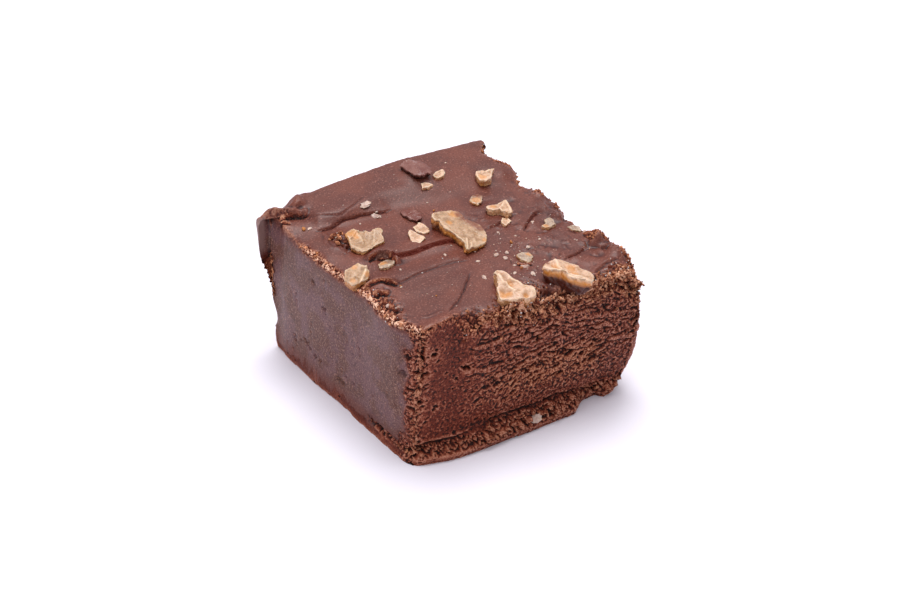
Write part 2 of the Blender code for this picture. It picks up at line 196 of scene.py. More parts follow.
# Pits and torn-out holes: centre, radius and depth.
PITS = (
    ((-10.2, -20.9, 16.6), 0.6, 0.9), ((-9.6, -20.9, 16.8), 0.45, 0.6),
    ((-16.4, -20.4, 21.3), 0.45, 0.8), ((-19.6, -19.3, 18.0), 0.45, 0.8),
    ((-18.2, -20.5, 17.6), 0.65, 1.1), ((-19.2, -20.2, 17.9), 0.55, 1.0),
    ((-18.8, -20.3, 12.0), 0.5, 0.9), ((-19.6, -19.8, 11.4), 0.5, 0.8),
    ((-19.8, -19.0, 10.6), 0.5, 0.8), ((-20.2, -17.1, 16.8), 0.55, 0.8),
    ((-20.0, -17.7, 20.5), 0.5, 0.7), ((-19.8, -18.4, 14.2), 0.45, 0.7),
    ((-3.1, -20.6, 25.3), 1.0, 1.4), ((-1.4, -21.2, 24.5), 1.1, 1.7),
    ((0.7, -21.6, 24.6), 0.8, 1.3), ((2.6, -21.6, 25.4), 0.8, 1.2), ((4.4, -20.6, 26.2), 0.9, 1.2),
    ((6.2, -20.6, 26.2), 1.0, 1.5), ((7.8, -22.2, 25.9), 1.0, 1.6), ((9.8, -24.0, 25.4), 0.8, 1.1),
    ((12.9, -23.4, 25.6), 0.6, 0.7), ((-20.3, -14.2, 26.2), 0.5, 0.8),
    ((-18.7, -12.9, 26.4), 0.45, 0.6), ((-19.5, -9.8, 26.2), 0.45, 0.5),
    ((-15.7, 6.6, 26.6), 0.8, 0.8), ((-15.9, 8.6, 26.6), 0.7, 0.7), ((-14.8, 4.9, 26.6), 0.6, 0.5),
    ((21.9, -15.8, 26.6), 0.5, 0.7), ((23.4, -15.8, 26.0), 0.6, 0.9),
    ((-22.4, 9.9, 7.4), 0.36, 0.5), ((-22.4, 9.2, 6.9), 0.42, 0.6), ((-22.4, 8.4, 6.4), 0.38, 0.6),
    ((-22.3, 6.7, 5.7), 0.46, 0.7), ((-22.2, 5.2, 5.8), 0.36, 0.6), ((-22.5, 13.3, 6.4), 0.36, 0.5),
    ((-22.5, 12.8, 5.6), 0.34, 0.5), ((-22.0, 4.6, 17.1), 0.36, 0.6),
    ((-22.2, 8.0, 20.7), 0.32, 0.5), ((-21.6, 0.1, 5.0), 0.4, 0.6), ((-21.5, -1.1, 4.8), 0.38, 0.6),
    ((-21.2, -4.2, 6.6), 0.34, 0.5),
)

# Clods of fudge on the top: plan place, radius and height.
CLODS = (
    ((21.4, -13.7), 1.1, 0.5), ((22.2, -17.6), 1.5, 0.4), ((20.6, -3.4), 1.0, 0.45),
    ((21.6, -10.4), 0.9, 0.35), ((-1.2, -20.9), 1.3, 1.0), ((0.8, -21.6), 1.3, 0.9),
    ((-18.0, 21.4), 1.5, 1.3), ((-15.8, 22.0), 1.6, 0.45), ((-23.0, 21.3), 0.9, 0.7),
    ((-24.1, 21.0), 0.9, 0.4),
)

# The fold of fudge that hangs over the back left corner: how far back its front side
# stands, and the groove where it meets the cut side.
BURR_FRONT = 21.3
BURR_GROOVE = ((-22.7, 21.6, 27.0), (-22.7, 21.5, 17.0), (-22.6, 21.3, 6.0))

# A facet broken off the front rim: a point of it and the way it faces.
FACET = ((-10.2, -20.9, 24.6), (0.0, -0.755, 0.656))

# How high the lip stands along the front, as (x, height).
LIP_TALL = ((-21, 2.6), (-12, 2.8), (-4, 3.6), (26, 3.4))

# Walnut pieces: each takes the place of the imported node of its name.
NUTS = {
    "walnut_left": Nut((-12.9, 6.5), 2.0, 1.0, (5, -120), 1,
        ((-2.2, 2.8), (-1.7, 3.1), (-0.9, 3.3), (-0.3, 3.2), (-0.3, 2.3), (0.4, 2.4), (1.2, 1.8),
         (1.5, 1.0), (2.5, 1.1), (3.0, 1.3), (3.5, 1.0), (3.9, 0.4), (3.6, -0.2), (3.0, -0.5),
         (2.9, -1.4), (2.6, -2.2), (1.9, -2.6), (1.0, -2.6), (0.2, -2.6), (-0.6, -3.0),
         (-1.7, -3.3), (-2.5, -3.1), (-2.7, -2.5), (-3.2, -1.8), (-3.7, -1.3), (-3.2, -0.4),
         (-2.7, 0.6), (-2.4, 1.4), (-2.3, 2.2)),
        mounds=((0.3, -0.2, 1.2, -0.16), (-3.0, -0.9, 0.7, 0.18), (3.0, 0.4, 0.7, 0.18)),
        ridges=((-0.4, 2.8, -0.6, -0.3, 0.2, 0.3), (2.4, 0.8, 0.6, -1.9, 0.14, 0.3),
                (-3.2, -1.0, -1.8, -2.8, 0.12, 0.3)),
        amber=((-1.9, 2.3, 1.1), (-1.2, 1.9, 1.0), (-1.1, 0.9, 0.6)), base=0.7, meat="tan"),
    "walnut_centre": Nut((2.2, 0.1), 3.2, 2.0, (8, -60), 2,
        ((-3.2, 4.3), (-2.4, 5.1), (-1.5, 5.3), (-0.5, 5.2), (0.7, 4.9), (1.9, 4.5), (2.6, 3.9),
         (2.7, 2.9), (2.4, 1.8), (2.9, 1.0), (3.4, 0.3), (3.9, -0.7), (3.9, -1.8), (3.6, -2.8),
         (3.1, -3.7), (2.4, -5.0), (1.4, -5.3), (-0.4, -5.6), (-1.5, -5.8), (-2.5, -5.7),
         (-2.1, -4.7), (-1.6, -3.8), (-1.8, -2.7), (-1.9, -1.6), (-2.2, -0.5), (-2.7, 0.2),
         (-2.9, 1.1), (-2.6, 2.2), (-2.2, 3.2), (-2.9, 3.3)),
        mounds=((0.4, 0.4, 1.6, -0.16), (-2.6, 4.3, 0.7, 0.15), (1.6, -3.4, 1.1, -0.15)),
        ridges=((-2.6, 1.6, -1.7, -3.2, 0.16, 0.35), (-0.8, -3.2, -2.1, -5.5, 0.32, 0.22),
                (-0.7, -4.5, -1.2, -5.4, 0.24, 0.3), (0.5, -3.6, 0.1, -4.5, 0.14, 0.35),
                (-2.8, 4.6, -1.0, 4.9, 0.12, 0.25)),
        amber=((1.1, 3.5, 0.9), (-0.9, 1.8, 0.6), (2.4, -4.6, 0.7)),
        skin=((2.1, 3.2, 0.9), (2.2, 2.0, 0.9), (2.5, 0.8, 0.9), (2.9, -0.3, 1.0),
              (3.2, -1.5, 1.0)),
        base=0.95, tilt=0.05, meat="tan"),
    "walnut_spike": Nut((-0.3, -18.5), 3.4, 1.85, (10, -80), 3,
        ((-0.8, 3.9), (-0.3, 4.5), (0.3, 4.5), (0.8, 4.0), (1.1, 3.2), (1.4, 2.4), (1.7, 1.6),
         (1.9, 0.8), (2.1, 0.1), (2.4, -0.5), (3.3, -1.0), (3.5, -1.5), (3.2, -2.4), (2.9, -3.4),
         (1.9, -3.6), (0.8, -3.5), (-0.2, -3.2), (-1.3, -2.8), (-2.1, -2.4), (-2.5, -2.1),
         (-2.9, -2.1), (-3.4, -1.8), (-3.3, -1.0), (-2.8, 0.0), (-2.5, 0.8), (-1.8, 1.3),
         (-1.3, 2.3), (-1.0, 3.1)),
        mounds=((0.5, 0.7, 0.8, -0.35), (-1.8, -0.7, 0.9, -0.45), (1.8, -1.6, 0.9, 0.25),
                (1.0, -2.7, 0.5, -0.4)),
        ridges=((-0.6, 3.2, -0.5, 0.9, 0.4, 0.4), (-0.5, 0.9, -0.3, -1.1, 0.35, 0.4),
                (0.7, 3.6, 2.0, -0.2, 0.22, 0.3), (2.2, -0.8, 3.0, -2.6, 0.2, 0.35)),
        amber=((-2.3, -1.0, 0.9), (-1.4, -1.2, 0.7), (0.3, 0.9, 0.7), (1.0, -2.7, 0.5)), base=0.6),
    "walnut_right": Nut((10.4, -19.8), 3.4, 2.4, (10, 10), 4,
        ((-3.9, 2.0), (-2.7, 3.0), (-1.3, 3.4), (-0.6, 3.2), (0.6, 3.9), (1.0, 3.6), (1.4, 2.3),
         (2.3, 0.7), (3.1, -1.1), (3.4, -2.3), (3.0, -3.4), (1.6, -4.8), (0.6, -4.5), (-0.3, -3.5),
         (-1.2, -2.3), (-1.7, -0.9), (-2.3, 0.2), (-3.4, 0.9)),
        mounds=((-1.6, 1.6, 0.8, -0.45), (0.8, -0.6, 1.1, -0.35), (-3.0, 1.6, 0.7, 0.25)),
        ridges=((-0.7, 2.9, -1.2, 0.4, 0.35, 0.35), (-2.6, 0.6, 0.8, -3.9, 0.3, 0.4)),
        amber=((-1.6, 1.5, 0.9), (0.8, 0.3, 1.0), (0.2, -1.2, 0.9)), skin=((-2.4, 2.9, 0.5),),
        base=1.0, tilt=0.1),
    "walnut_back_right": Nut((16.4, 12.6), 2.0, 1.1, (4, 45), 5,
        ((-1.7, 0.8), (-0.9, 1.7), (0.2, 1.5), (0.7, 0.8), (1.7, 1.0), (2.6, 0.7), (1.4, -0.2),
         (0.1, -1.9), (-1.2, -2.1), (-2.2, -1.3)),
        mounds=((-0.8, 0.0, 0.9, -0.1),), ridges=((0.6, 0.4, 2.3, 0.6, 0.25, 0.3),),
        amber=((-1.2, -0.8, 1.0),)),
    "walnut_bird": Nut((12.8, 2.8), 1.8, 1.0, (8, 60), 6,
        ((-2.0, 1.8), (-0.2, 1.6), (1.2, 1.8), (2.7, 2.1), (2.1, 0.2), (1.3, -1.9), (-0.1, -2.8),
         (-0.5, -1.6), (-0.6, -0.7), (-1.7, -0.1), (-2.4, 0.7)),
        mounds=((0.9, 0.6, 0.7, -0.2),),
        ridges=((2.3, 1.6, 1.0, -1.6, 0.25, 0.25), (2.0, 1.7, -0.5, -0.4, 0.25, 0.25)),
        amber=((-0.9, 0.9, 0.7),)),
    "walnut_left_rim": Nut((-19.6, -2.1), 2.6, 1.15, (16, -126), 7,
        ((-1.5, 1.9), (0.0, 2.1), (1.2, 2.1), (1.9, 0.9), (2.1, -0.1), (1.5, -1.2), (0.3, -1.8),
         (-0.9, -1.9), (-2.3, -1.6), (-2.7, 0.2)),
        mounds=((-0.8, 0.2, 1.1, 0.25),),
        ridges=((1.9, 0.5, -0.9, -2.0, 0.35, 0.35), (1.2, 2.2, 1.5, 0.6, 0.2, 0.3)),
        amber=((1.3, -0.8, 0.7), (0.2, 1.6, 0.6), (-1.6, -0.8, 0.5)), skin=((1.6, -1.2, 0.6),),
        base=0.7, tilt=0.16, meat="tan"),
    "walnut_left_sunk": Nut((-13.7, -1.2), 1.6, 0.4, (10, 100), 11,
        ((-1.0, 0.8), (0.3, 1.3), (1.3, 1.2), (2.0, 0.2), (1.2, -0.8), (-0.6, -1.4), (-1.7, -0.8)),
        amber=((-0.4, 0.4, 0.9),), tilt=0.15, meat="filmed"),
    "walnut_pair_back": Nut((-2.5, 4.5), 1.4, 0.5, (5, 200), 12,
        ((-1.0, 1.3), (0.6, 1.9), (0.9, 1.2), (1.0, 0.2), (1.1, -0.5), (0.5, -1.3), (-0.5, -1.5),
         (-0.9, -0.8), (-1.4, 0.0)),
        mounds=((0.0, 0.2, 0.7, -0.12),), tilt=0.1),
    "walnut_pair_front": Nut((-5.1, 2.5), 1.4, 0.5, (5, 200), 13,
        ((-0.5, 1.9), (0.3, 2.4), (0.6, 1.7), (0.9, 0.7), (1.3, 0.0), (1.3, -1.0), (0.4, -1.5),
         (-0.9, -2.0), (-1.0, -1.3), (-1.4, -0.8), (-1.0, 0.6)),
        mounds=((0.0, 0.4, 0.7, -0.15),), ridges=((-0.6, 0.4, 0.9, -0.6, 0.12, 0.25),), tilt=0.1),
    "walnut_back_flake": Nut((8.8, 16.0), 1.4, 0.6, (5, 30), 14,
        ((-1.4, 0.2), (-0.2, 1.1), (1.3, 1.5), (1.7, 0.9), (0.6, -0.8), (-0.9, -1.2), (-1.5, -0.8)),
        ridges=((1.3, 1.2, 0.2, -0.7, 0.15, 0.25),)),
    "walnut_back_chip": Nut((4.8, 14.3), 1.2, 0.4, (4, 30), 15,
        ((-0.4, 1.2), (0.7, 1.0), (1.4, -0.3), (-0.1, -0.8), (-1.3, -0.6))),
    "walnut_bird_chip": Nut((11.7, -0.3), 1.2, 0.45, (6, 40), 16,
        ((0.1, 1.3), (1.0, 1.0), (0.9, -0.5), (-0.8, -1.2), (-1.2, -0.4))),
    "walnut_smeared": Nut((11.3, 8.1), 1.5, 0.5, (5, 60), 17,
        ((-1.1, 0.5), (0.2, 1.6), (1.4, 1.6), (1.7, 0.3), (0.3, -1.4), (-1.1, -1.5), (-1.5, -0.8)),
        amber=((-0.3, -0.4, 1.1),), skin=((0.9, 0.9, 1.1),), base=0.8, tilt=0.15, meat="filmed"),
    "walnut_right_sunk": Nut((17.7, -4.8), 1.8, 0.7, (8, 20), 18,
        ((-2.1, -0.5), (-0.6, 0.1), (0.3, 1.6), (1.5, 1.7), (1.7, 0.8), (1.0, -0.8), (-0.4, -1.2),
         (-1.6, -1.2)),
        mounds=((0.8, 0.8, 0.6, 0.15),), amber=((-1.2, -0.8, 0.7),), tilt=0.15, meat="filmed"),
    "walnut_right_flat": Nut((21.3, -7.7), 1.1, 0.35, (6, 20), 19,
        ((-1.3, 0.9), (0.4, 1.1), (0.9, 0.0), (0.4, -1.4), (-0.5, -0.7)),
        meat="filmed"),
    "walnut_front_sunk": Nut((8.2, -11.1), 1.5, 0.5, (8, 20), 20,
        ((-1.2, 1.3), (0.0, 1.7), (1.5, 1.1), (1.5, -0.2), (0.2, -1.4), (-0.8, -1.5), (-1.5, -0.3)),
        ridges=((-1.2, 0.0, 0.8, -1.0, 0.15, 0.25),), amber=((0.9, 0.6, 0.6),), base=0.6,
        tilt=0.15, meat="filmed"),
}

# Flakes of walnut that are coated in fudge.
COATED = {
    "back": Nut((5.2, 18.3), 1.4, 0.35, (4, 60), 31,
        ((-2.0, 2.2), (-0.5, 3.2), (1.0, 2.8), (2.0, 1.4), (2.4, -1.2), (1.8, -2.7), (-0.6, -3.2),
         (-1.8, -2.2), (-2.1, -0.2)),
        ridges=((0.6, 2.0, -0.4, -2.0, 0.15, 0.35),), base=1, tilt=0.1),
    "middle": Nut((-1.7, 9.1), 1.4, 0.45, (4, 60), 32,
        ((-1.3, 1.8), (0.2, 2.2), (1.3, 1.4), (1.8, -0.4), (0.9, -2.1), (-0.5, -2.4), (-1.2, -0.9),
         (-1.6, 0.4)),
        base=1),
}

# Small pale flakes lying on the top: plan place, length, heading.
FLAKES = (
    (-7.0, 12.2, 1.7, 120), (-6.4, 13.0, 0.7, 30), (-7.6, 14.6, 2.2, 10), (-18.8, 14.6, 1.0, 20),
    (-3.3, -3.7, 0.8, 70), (-1.4, -12.4, 1.2, 100), (4.2, -8.0, 1.4, 20), (6.2, -8.4, 1.0, 60),
    (5.0, -9.6, 1.2, 80), (10.4, -8.7, 1.0, 40), (0.5, -7.9, 0.8, 0), (6.3, -15.7, 1.4, 90),
    (3.9, -13.9, 0.9, 30), (6.6, -13.0, 1.8, -20), (22.0, -9.6, 1.2, 50), (5.2, -12.0, 0.7, 10),
    (8.4, -2.6, 0.7, 80), (12.4, 19.4, 0.5, 0), (10.6, -4.7, 0.6, 0), (13.4, -7.9, 0.7, 40),
    (3.1, 11.3, 0.5, 0), (-14.9, -7.8, 0.6, 30), (-12.4, -3.8, 0.6, 60), (15.8, -2.6, 0.8, 20),
    (-10.6, 11.6, 0.6, 40), (-19.4, -10.8, 1.0, 40), (-18.4, -12.0, 0.9, 10), (-16.4, 9.9, 1.0, 60),
    (-15.4, 10.9, 0.7, 0),
)
# Amber crumbs on the top: plan place and size.
AMBER_CRUMBS = (
    (-19.8, 15.0, 0.75), (8.6, -6.2, 0.6), (5.7, -13.3, 0.6), (-14.8, -7.5, 0.35),
    (-11.2, -12.7, 0.3), (2.9, 8.9, 0.4), (-21.2, 8.4, 0.5),
)

# The chip caught in the foot lip: place and radii.
LIP_CHIP = (Vector((3.4, -23.5, 2.3)), (0.85, 0.6, 1.25))


def hex_linear(code):
    """An sRGB hex colour as the linear RGBA that a shader takes."""
    channels = [int(code[i:i + 2], 16) / 255 for i in (0, 2, 4)]
    linear = [c / 12.92 if c <= 0.04045 else ((c + 0.055) / 1.055) ** 2.4 for c in channels]
    return (*linear, 1.0)


def ramp(value, start, end):
    """0 to 1 with level ends as the value goes from start to end."""
    share = np.clip((value - start) / (end - start), 0.0, 1.0)
    return share * share * (3 - 2 * share)


def bell(distance, width):
    """1 at no distance, and nearly 0 at twice the width."""
    return np.exp(-(distance / width) ** 2)


def grain(points, size, seed):
    """Noise from about -1 to 1 at each point. Size is a feature's length in mm, or one for each
    axis."""
    places = (points / np.array(size) + 17.3 * seed).tolist()
    return np.array([noise.noise(place, noise_basis="PERLIN_ORIGINAL") for place in places])


def grain_where(mask, points, size, seed):
    """The same noise, worked out only where the mask is above zero, and 0 elsewhere."""
    found = np.zeros(len(points))
    chosen = mask > FAINT
    found[chosen] = grain(points[chosen], size, seed)
    return found


def cells(points, size, seed):
    """Which random lump each point is in: the gap to the next lump and the way from the lump's
    middle, both in lump sizes, and four numbers from -1 to 1 that belong to the lump."""
    draws = np.random.default_rng(seed).random((CELL_TABLE,) * 3 + (7,))
    spot = points / np.array(size)
    base = np.floor(spot).astype(int)
    nearest = np.full(len(points), 9.0)
    second = nearest.copy()
    way = np.zeros((len(points), 3))
    own = np.zeros((len(points), 4))
    for step in itertools.product((-1, 0, 1), repeat=3):
        cell = base + step
        drawn = draws[tuple((cell % CELL_TABLE).T)]
        offset = spot - cell - drawn[:, :3]
        away = np.linalg.norm(offset, axis=1)
        closer = away < nearest
        second = np.where(closer, nearest, np.minimum(second, away))
        nearest = np.where(closer, away, nearest)
        way[closer] = offset[closer]
        own[closer] = drawn[closer, 3:] * 2 - 1
    return second - nearest, way, own


def hollows(points, size, seed, rare, sharp, wall):
    """1 inside some of the random lumps, those whose number is above rare, and 0 elsewhere.
    Sharp and wall say how fast it rises with that number and with the gap."""
    gap, _, own = cells(points, size, seed)
    return ramp((own[:, 0] - rare) * sharp, 0, 1) * ramp(gap * wall, 0, 1)


def shards(mask, points, size, seed):
    """Height, from about -1 to 1, of a surface broken into angular lumps with clefts between."""
    found = np.zeros(len(points))
    chosen = mask > FAINT
    gap, way, own = cells(points[chosen], size, seed)
    found[chosen] = 0.6 * own[:, 0] + 0.9 * (way * own[:, 1:]).sum(1) - 0.6 * bell(gap, 0.16)
    return found


def crumble(mask, points, size, seed):
    """Crumbs of three sizes, as a height in mm."""
    return sum(0.36 * size * share * shards(mask, points, size * share, seed + step)
               for step, share in enumerate((1.0, 0.55, 0.30)))


def to_line(points, line):
    """Plan distance to a line of points, above zero on its left, how far along it is, and its
    length."""
    nearest = np.full(len(points), 1e9)
    signed = np.zeros(len(points))
    place = np.zeros(len(points))
    passed = 0.0
    for start, end in zip(line, line[1:]):
        start, end = np.array(start, float), np.array(end, float)
        step = end - start
        length = np.hypot(*step)
        offset = points[:, :2] - start
        share = np.clip(offset @ step / length ** 2, 0, 1)
        away = np.hypot(*(offset - share[:, None] * step).T)
        left = np.sign(step[0] * offset[:, 1] - step[1] * offset[:, 0])
        closer = away < nearest
        nearest[closer] = away[closer]
        signed[closer] = (away * left)[closer]
        place[closer] = passed + (share * length)[closer]
        passed += length
    return signed, place, passed


def to_segment(points, start, end):
    start, end = np.array(start, float), np.array(end, float)
    step = end - start
    share = np.clip((points - start) @ step / (step @ step), 0, 1)
    return np.linalg.norm(points - start - share[:, None] * step, axis=1)


def copy_of(node):
    """A bmesh of a CAD node in mm, its loose triangles merged."""
    bm = bmesh.new()
    bm.from_mesh(frame["nodes"][node].data)
    bmesh.ops.remove_doubles(bm, verts=bm.verts, dist=MERGE)
    bmesh.ops.scale(bm, vec=(1 / MM,) * 3, verts=bm.verts)
    return bm


def mesh_of(bm, name):
    mesh = bpy.data.meshes.new(name)
    bm.to_mesh(mesh)
    bm.free()
    return mesh


def add_into(bm, mesh):
    """Puts the mesh into the bmesh and removes it."""
    bm.from_mesh(mesh)
    bpy.data.meshes.remove(mesh)


def modified(mesh, kind, **settings):
    """The mesh after one of Blender's own modifiers."""
    draft = bpy.data.objects.new("draft", mesh)
    bpy.context.scene.collection.objects.link(draft)
    modifier = draft.modifiers.new(kind.lower(), kind)
    for name, value in settings.items():
        setattr(modifier, name, value)
    graph = bpy.context.evaluated_depsgraph_get()
    made = bpy.data.meshes.new_from_object(draft.evaluated_get(graph))
    bpy.data.objects.remove(draft)
    bpy.data.meshes.remove(mesh)
    return made


def remeshed(bm, name, voxel):
    return modified(mesh_of(bm, name), "REMESH", mode="VOXEL", voxel_size=voxel)


def read_all(items, what, width, kind=np.float32):
    """Numbers of all the items, in rows of this width."""
    values = np.empty(len(items) * width, kind)
    items.foreach_get(what, values)
    return values.reshape(-1, width)


def read_points(mesh):
    return read_all(mesh.vertices, "co", 3).astype(float)


def read_normals(mesh):
    return read_all(mesh.vertex_normals, "vector", 3).astype(float)


def write_points(mesh, points):
    mesh.vertices.foreach_set("co", points.astype(np.float32).ravel())
    mesh.update()


def relaxed(values, edges, weight, rounds):
    """Values drawn towards the mean of their neighbours, each by its own weight."""
    values = values.reshape(len(values), -1)
    near, far = np.concatenate([edges, edges[:, ::-1]]).T
    count = np.maximum(np.bincount(near, minlength=len(values)), 1)
    weight = np.broadcast_to(weight, len(values))[:, None]
    for _ in range(rounds):
        total = np.stack([np.bincount(near, column[far], len(values)) for column in values.T], 1)
        values = values + weight * (total / count[:, None] - values)
    return values.squeeze()


def proudness(mesh, points, edges, rounds):
    """How far each point stands out of its smoothed surroundings, in mm."""
    return ((points - relaxed(points, edges, 0.6, rounds)) * read_normals(mesh)).sum(1)


def store(mesh, name, values):
    """Keeps one number for each point of the mesh, for its material to read."""
    layer = mesh.attributes.new(name, "FLOAT", "POINT")
    layer.data.foreach_set("value", np.asarray(values, np.float32))


def recall(mesh, name):
    return read_all(mesh.attributes[name].data, "value", 1)[:, 0].astype(float)


def ground_under(ground, x, y):
    """Height of the fudge at a plan point, in mm."""
    hit = ground.ray_cast(Vector((x, y, SKY_HIGH)), Vector((0, 0, -1)))[0]
    return TOP_LEVEL if hit is None else hit.z


def seat_height(ground, low, high):
    """The height of the fudge round a piece of walnut, in mm."""
    middle, reach = (low + high) / 2, (high - low) * 0.75
    turns = (math.radians(turn) for turn in range(0, 360, 20))
    heights = [ground_under(ground, middle.x + math.cos(turn) * reach.x,
                            middle.y + math.sin(turn) * reach.y) for turn in turns]
    return sorted(heights)[len(heights) // 2]


def plugged_body():
    """The fudge with the bed under each piece of walnut filled up again."""
    body = copy_of("fudge")
    ground = BVHTree.FromBMesh(body)
    for node in sorted(set(frame["nodes"]) - {"fudge"}):
        low, high = (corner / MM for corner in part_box(node))
        middle = (low + high) / 2
        level = seat_height(ground, low, high) - PLUG_SINK
        tall = (level - low.z + PLUG_FOOT) / (high.z - low.z)
        foot = Matrix.Translation((middle.x, middle.y, low.z - PLUG_FOOT))
        widen = Matrix.Diagonal((PLUG_SPREAD, PLUG_SPREAD, tall, 1))
        centred = Matrix.Translation((-middle.x, -middle.y, -low.z))
        plug = copy_of(node)
        bmesh.ops.transform(plug, matrix=foot @ widen @ centred, verts=plug.verts)
        add_into(body, mesh_of(plug, "plug"))
    return body


def read_regions(points, normals):
    """For each point: which side it is on, how much it is top, its distance to the rim and to the
    upright edges, and which way is out."""
    plan = {name: np.array(corner) for name, corner in PLAN.items()}
    depth = []
    outward = []
    for start, end in SIDES.values():
        step = plan[end] - plan[start]
        step /= np.hypot(*step)
        inward = np.array((-step[1], step[0]))
        depth.append((points[:, :2] - plan[start]) @ inward)
        outward.append((*-inward, 0))
    depth = np.stack(depth, 1)
    nearest = depth.argmin(1)
    found = {side: (nearest == place).astype(float) for place, side in enumerate(SIDES)}
    found["outward"] = np.array(outward)[nearest]
    high = points[:, 2] > TOP_FROM
    found["top"] = ramp(normals[:, 2], 0.35, 0.75) * high
    found["side"] = 1 - found["top"]
    rim = high & (abs(normals[:, 2] - 0.6) < 0.2) & (depth.min(1) < RIM_DEPTH)
    tree = KDTree(int(rim.sum()))
    for place, point in enumerate(points[rim].tolist()):
        tree.insert(point, place)
    tree.balance()
    found["rim"] = np.array([tree.find(point)[2] for point in points.tolist()])
    for name, (foot, head) in UPRIGHTS.items():
        found[name] = to_segment(points, foot, head)
    found["foot"] = ((points[:, 2] < UNDERSIDE) & (normals[:, 2] < -0.3)).astype(float)
    return SimpleNamespace(**found)


def crease_relief(points):
    """Steps and fold lines that the spatula left in the top, and each point's distance to a
    fold."""
    relief = np.zeros(len(points))
    to_fold = np.ones(len(points))
    wavy = points.copy()
    wavy[:, 1] += 0.13 * grain(points, (1.4, 1.4, 4), seed=40)
    for crease in CREASES:
        signed, place, length = to_line(wavy, crease.line)
        ends = ramp(place, 0, 2) * ramp(length - place, 0, 2)
        reach = ramp(abs(signed), CREASE_REACH, CREASE_REACH / 2)
        behind = np.exp(-np.maximum(signed, 0) / crease.run) * ramp(signed, -0.125, 0.125)
        to_middle = signed + 0.12
        fold = crease.fold * bell(to_middle, FOLD_WIDTH)
        relief += ends * reach * (crease.rise * behind - fold)
        depth = min(1.0, crease.fold / 0.4)
        to_fold = np.minimum(to_fold, 1 - ends * depth * (1 - np.minimum(abs(to_middle), 1)))
    return relief, to_fold


def ridge_relief(points):
    """Curls and raised lines, and how far a point is in the torn inside of a curl."""
    relief = np.zeros(len(points))
    torn = np.zeros(len(points))
    wavy = points.copy()
    wavy[:, :2] += 0.2 * grain(points, (1.2, 1.2, 4), seed=41)[:, None]
    for ridge in RIDGES:
        signed, place, length = to_line(wavy, ridge.line)
        ends = ramp(place, 0, 0.8) * ramp(length - place, 0, 0.8)
        foot = signed - 1.25 * ridge.wide
        relief += ends * (ridge.high * bell(signed, ridge.wide) - ridge.under * bell(foot, 0.25))
        if ridge.under:
            torn = np.maximum(torn, ends * bell(foot + 0.15, 0.24))
    return relief, torn


def clod_relief(points):
    relief = np.zeros(len(points))
    for centre, radius, high in CLODS:
        away = np.hypot(*(points[:, :2] - centre).T)
        relief += high * np.exp(-(away / radius) ** 3)
    return relief


def pit_relief(points):
    relief = np.zeros(len(points))
    for centre, radius, depth in PITS:
        near = np.flatnonzero((abs(points - centre) < 3 * radius).all(1))
        away = np.linalg.norm((points[near] - centre) * (0.8, 1, 1.25), axis=1)
        away *= 1 + 0.8 * grain(points[near], 0.55, seed=24)
        relief[near] -= depth * np.exp(-(away / radius) ** 3)
    return relief


def shaped(points, normals):
    """The back left fold's front side set back to where it stands, and a facet broken off the
    front rim."""
    x, y, z = points.T
    near = (y > 17.6) & (x < -21.4)
    facing = ramp(-normals[:, 1], 0.25, 0.65) * near * ramp(z, 4, 7) * ramp(z, 27.2, 26.4)
    front = BURR_FRONT + 0.30 * (x + 24.0) ** 2
    front += 0.5 * grain_where(facing, points, (3, 9, 3.5), seed=26)
    moved = points.copy()
    moved[:, 1] += facing * np.maximum(front - y, 0)
    place, facing = (np.array(row) for row in FACET)
    above = np.maximum((moved - place) @ facing, 0) * ramp(abs(x - place[0]), 2.6, 1.6)
    return moved - above[:, None] * facing


def top_relief(points, region, mark):
    """Spread top: soft swirls, lumps on the right, creases, curls and buried bits. How far up."""
    x, y, _ = points.T
    relief = 0.08 * grain(points, (7, 3.2, 8), seed=2) + 0.03 * grain(points, (2.5, 1.2, 4), seed=3)
    swollen = 0.30 * ramp(x, 16, 21) * ramp(y, 21, 18)
    relief += swollen * grain_where(region.right, points, (3.2, 2.6, 6), seed=27)
    lumps = 0.34 * grain(points, (3.0, 2.4, 4), seed=5) + 0.14 * grain(points, 1.3, seed=11)
    relief += ramp(x, 5, 13) * ramp(y, 11, 5) * lumps
    relief += 0.15 * ramp(grain(points, 0.9, seed=4), 0.34, 0.54) * ramp(x, 2, 8) * ramp(y, 10, 2)
    steps, to_crease = crease_relief(points)
    curls, in_curl = ridge_relief(points)
    mark.curl = in_curl * region.top
    mark.clot = region.top * bell(x + 19.2, 1.5) * bell(y + 10.6, 3.6)
    # The fold mark paints the crease lines dark: painted shade under the spatula's steps.
    mark.fold = 1 - region.top * (1 - to_crease)
    relief += steps * ramp(region.rim, 0.4, 1.4) + curls + clod_relief(points)
    relief += 0.5 * mark.curl * crumble(mark.curl, points, 0.9, seed=98)
    relief += 1.1 * mark.clot * crumble(mark.clot, points, 1.2, seed=102)
    return region.top * relief


